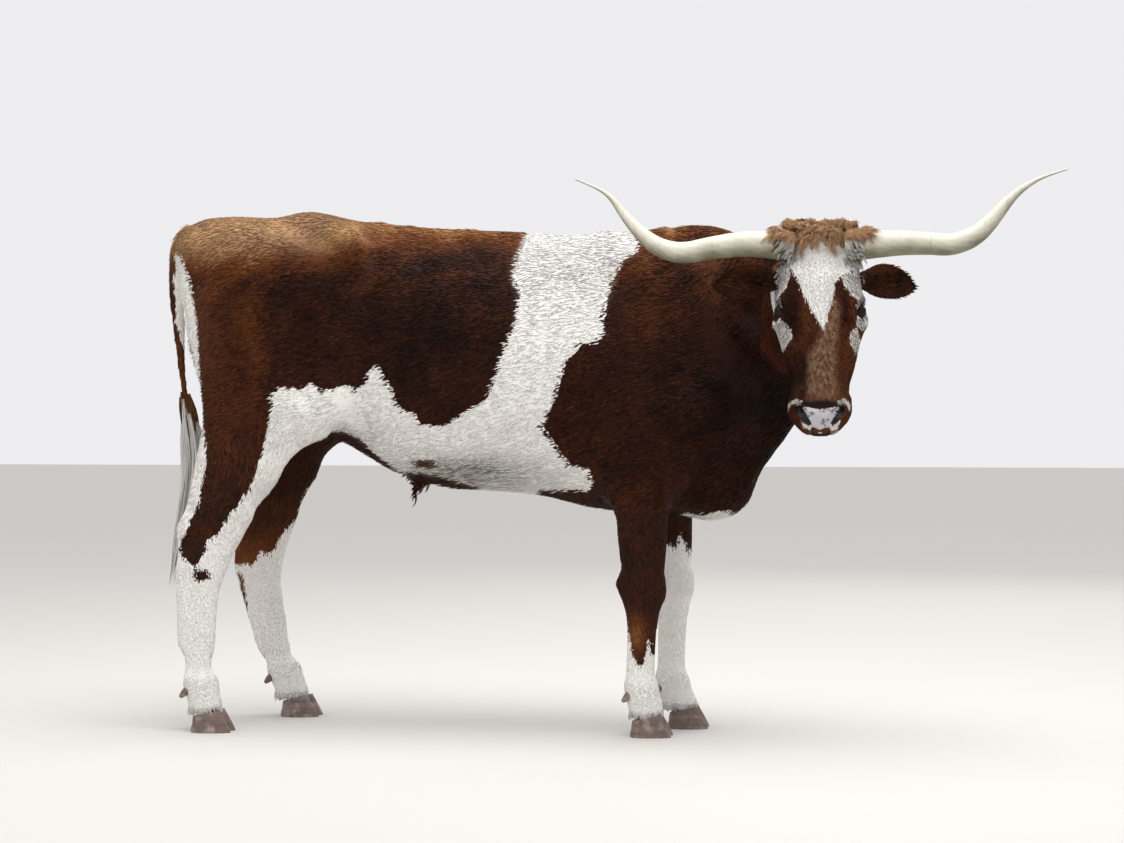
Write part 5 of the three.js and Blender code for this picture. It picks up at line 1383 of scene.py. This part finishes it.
# %% Forelock: a whorl on the poll, fanning up, out over the horns, and down over the forehead
rng = np.random.default_rng(31)
mop = []
for k in range(330):
    root_across = rng.uniform(-1, 1) * 114
    bow = math.sqrt(max(0.0, 1 - (root_across / 150) ** 2))
    share = rng.uniform(-1, 1)  # -1 for a lock that goes up, 1 for one that hangs over the forehead
    root_at = 12 + 22 * share * bow
    long = rng.uniform(26, 44) * (0.8 + 0.2 * bow) * (0.62 if share < 0 else 1.0)
    way_along = (0.75 * share + 0.05 + 0.20 * rng.normal()) * long
    way_across = (0.95 * root_across / 118 + 0.22 * rng.normal()) * long
    over_horn = float(ease(abs(root_across), 82, 100))
    rise = rng.uniform(5, 13) * (1 - 0.3 * max(0.0, share)) * (1 + 0.9 * over_horn)
    curl = rng.uniform(-4, 4)
    level = None
    lock = []
    for part, sideways, up in (
            (0, 0, -0.25), (0.14, curl, 0.75), (0.45, curl, 1.0), (0.78, 0, 0.85), (1.0, -curl, 0.45)):
        at, across_at = root_at + part * way_along, root_across + part * way_across + sideways
        hold = (onto_head(at, across_at, -25) - POLL).dot(OUT) / MM
        level = hold if level is None else max(hold, level - 14 * part)  # past the poll it stays in the air
        lock.append(np.array(on_head(at, across_at, level + up * rise)))
    mop.append(lock)
locks("forelock", mop, round_the_head, seed=32, strands=19, bends=5, root=0.010, tip=0.004, width=0.0014, wave=0.004,
      colour=(30, 0.97, 0.20), own_length=(0.6, 1.1))

# %% Streaky hair at the horns' roots
rng = np.random.default_rng(35)
side_locks = {"white": [], "brown": []}
for k in range(190):
    side = -1 if k % 2 else 1
    root_at, root_across = rng.uniform(20, 90), side * rng.uniform(57, 108)
    start = onto_head(root_at, root_across, -60) - OUT * 2 * MM
    long = rng.uniform(20, 36)
    way = (rng.uniform(0.2, 0.9) * ALONG + side * rng.uniform(0.2, 0.8) * ACROSS) * long * MM
    colour = "brown" if rng.random() < 0.2 and abs(root_across) > 78 else "white"
    rise = 5 * MM * OUT
    side_locks[colour].append([start, start + 0.3 * way + rise, start + 0.7 * way + rise, start + way])
for name, seed, colour in (("white", 36, (-30, 0.3, 0.55)), ("brown", 37, (30, 0.30, 0.1))):
    locks(f"horn_root_hair_{name}", side_locks[name], round_the_head, seed, strands=12, bends=5, root=0.005,
          tip=0.0015, width=0.0013, wave=0.002, colour=colour)

# %% Switch: long white hair from the end of the dock
centre_y = middle_of("tail_switch").y
SWITCH_LINE = [
    (-1.1650, 0.905), (-1.1490, 0.830), (-1.1350, 0.760), (-1.1380, 0.680), (-1.1540, 0.600), (-1.1740, 0.520),
    (-1.1900, 0.440), (-1.2020, 0.360),
]
GOLDEN_TURN = 2.399963  # radians from one lock to the next, so that they spread evenly round the tail

def tail_lock(angle, start, end, steps, thickness):
    """A curve beside the switch's middle line, between two shares of it. thickness takes the share of the lock."""
    curve = []
    for t in np.linspace(start, end, steps):
        x, z = (np.interp(max(t, 0) * 7, range(8), column) for column in zip(*SWITCH_LINE))
        r = thickness((t - start) / (end - start))
        curve.append((x + r * math.cos(angle), centre_y + 0.9 * r * math.sin(angle), z - min(t, 0) * 0.7))
    return curve

rng = np.random.default_rng(41)
tail_locks = []
for k in range(60):
    start = rng.uniform(0.0, 0.22)
    end = rng.uniform(0.62, 1.0) if k % 3 else rng.uniform(0.8, 1.0)
    belly = rng.uniform(0.008, 0.030)
    tail_locks.append(tail_lock(k * GOLDEN_TURN, start, end, 7, lambda s: (
        0.010 + belly * math.sin(math.pi * min(1, s * 1.25) ** 0.8) * (1 - 0.35 * s))))
switch = locks("tail_switch_hair", tail_locks, round_the_body, seed=42, strands=13, bends=10, root=0.006, tip=0.0016,
               width=0.0030, wave=0.004, colour=(-30, 0.3, 0.0))
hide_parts("tail_switch")
dock_locks = []
for k in range(30):
    angle = k * GOLDEN_TURN
    start, end = rng.uniform(-0.02, 0.05), rng.uniform(0.16, 0.25) + 0.05 * (math.cos(angle) < 0)
    dock_locks.append(tail_lock(angle, start, end, 5, lambda s: 0.011 + 0.012 * math.sin(math.pi * 0.75 * s)))
locks("tail_dock_hair", dock_locks, round_the_body, seed=43, strands=14, bends=7, root=0.005, tip=0.002, width=0.0024,
      wave=0.002, colour=(30, 0.32, 0.0))

# %% Tuft on the sheath
rng = np.random.default_rng(51)
tuft = []
for k in range(16):
    x = -0.552 + 0.075 * (k + rng.random()) / 16
    y = MIDDLE_Y + rng.uniform(-0.016, 0.016)
    start = onto_skin((x, y, 0.5), (0, 0, 1), (x, y, 0.66)) + Vector((0, 0, 0.006))
    drop = 0.050 if k in (6, 7) else rng.uniform(0.014, 0.030)  # two locks in the middle hang lowest
    steps = (0, 0, 0), (0.002, 0, -0.35 * drop), (-0.001, 0, -0.7 * drop), (-0.28 * drop, 0, -drop)
    tuft.append([start + Vector(step) for step in steps])
locks("sheath_tuft", tuft, round_the_body, seed=52, strands=14, bends=7, root=0.006, tip=0.0012, width=0.0012,
      wave=0.002, colour=(30, 0.25, 0.0))

# %% Lashes along the upper lids
lash_curves = []
rng = np.random.default_rng(61)
for side, node in BALLS.items():
    ball = middle_of(node)
    look, nose, up = eye_axes(side)
    dorsal = -side * up
    for k in range(26):
        turn = math.radians(20 + 140 * (k + rng.random()) / 34)
        edge = almond(turn, wider=2)
        rim = math.cos(turn) * nose + math.sin(turn) * dorsal
        start = ball + (EYE_RADIUS + 1.6 * MM) * (math.sin(edge) * rim + math.cos(edge) * look)
        long = rng.uniform(0.009, 0.014)
        lash_curves.append([
            start + long * (a * look + b * rim) for a, b in ((0, 0), (0.45, 0.25), (0.75, 0.60), (0.85, 1.0))])
locks("eyelashes", lash_curves, round_the_head, seed=62, strands=3, bends=5, root=0.0009, tip=0.0006, width=0.0006,
      wave=0.0, colour=(30, 0.05, 0.0))

# %% Hair in the ears
rng = np.random.default_rng(71)
ear_curves = []
for name, side in (("right", -1), ("left", 1)):
    low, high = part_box(f"ear_{name}")
    for k in range(70):
        share = rng.uniform(0.12, 0.72)
        level = rng.uniform(-0.75, 0.75)
        x = (high.x - share * (high.x - low.x)) if side < 0 else (low.x + share * (high.x - low.x))
        z = (low.z + high.z) / 2 + level * (high.z - low.z) * 0.32
        found = skin_tree.ray_cast(Vector((x, low.y - 0.05, z)), Vector((0, 1, 0)))[0]
        if found is None or found.y > high.y:
            continue
        start = found + Vector((0, 0.002, 0))
        long = rng.uniform(0.018, 0.034)
        way = long * Vector((side * 0.8, -0.25, -0.5 * level + rng.uniform(-0.2, 0.2)))
        forward = Vector((0, -0.2 * long, 0))
        ear_curves.append([start, start + 0.4 * way + forward, start + 0.75 * way, start + way])
locks("ear_hair", ear_curves, round_the_head, seed=72, strands=7, bends=5, root=0.004, tip=0.0012, width=0.0007,
      wave=0.0, colour=(30, 0.10, 0.0))

# %% A fringe of hair over the top of each claw
rng = np.random.default_rng(81)
fringe = []
for foot in FEET:
    for half in ("outer", "inner"):
        low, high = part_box(f"hoof_{foot}_{half}")
        centre = (low + high) / 2
        for k in range(46):
            angle = 2 * math.pi * (k + rng.random()) / 46
            way = Vector((math.cos(angle), math.sin(angle), 0))
            top = Vector((centre.x - 0.012, centre.y, high.z + rng.uniform(0.002, 0.012)))
            found = skin_tree.ray_cast(top + 0.12 * way, -way)[0]
            if found is None:
                continue
            long = rng.uniform(0.016, 0.026)
            start = found - way * 2 * MM
            fringe.append([
                start + part * long * Vector((out * way.x, out * way.y, -down))
                for part, out, down in ((0, 0, 0), (0.35, 0.30, 0.95), (0.7, 0.30, 0.95), (1, 0.26, 0.97))])
locks("coronet_fringe", fringe, round_the_legs, seed=82, strands=6, bends=5, root=0.004, tip=0.0015, width=0.0014,
      wave=0.0, colour=(-30, 0.3, 0.0))
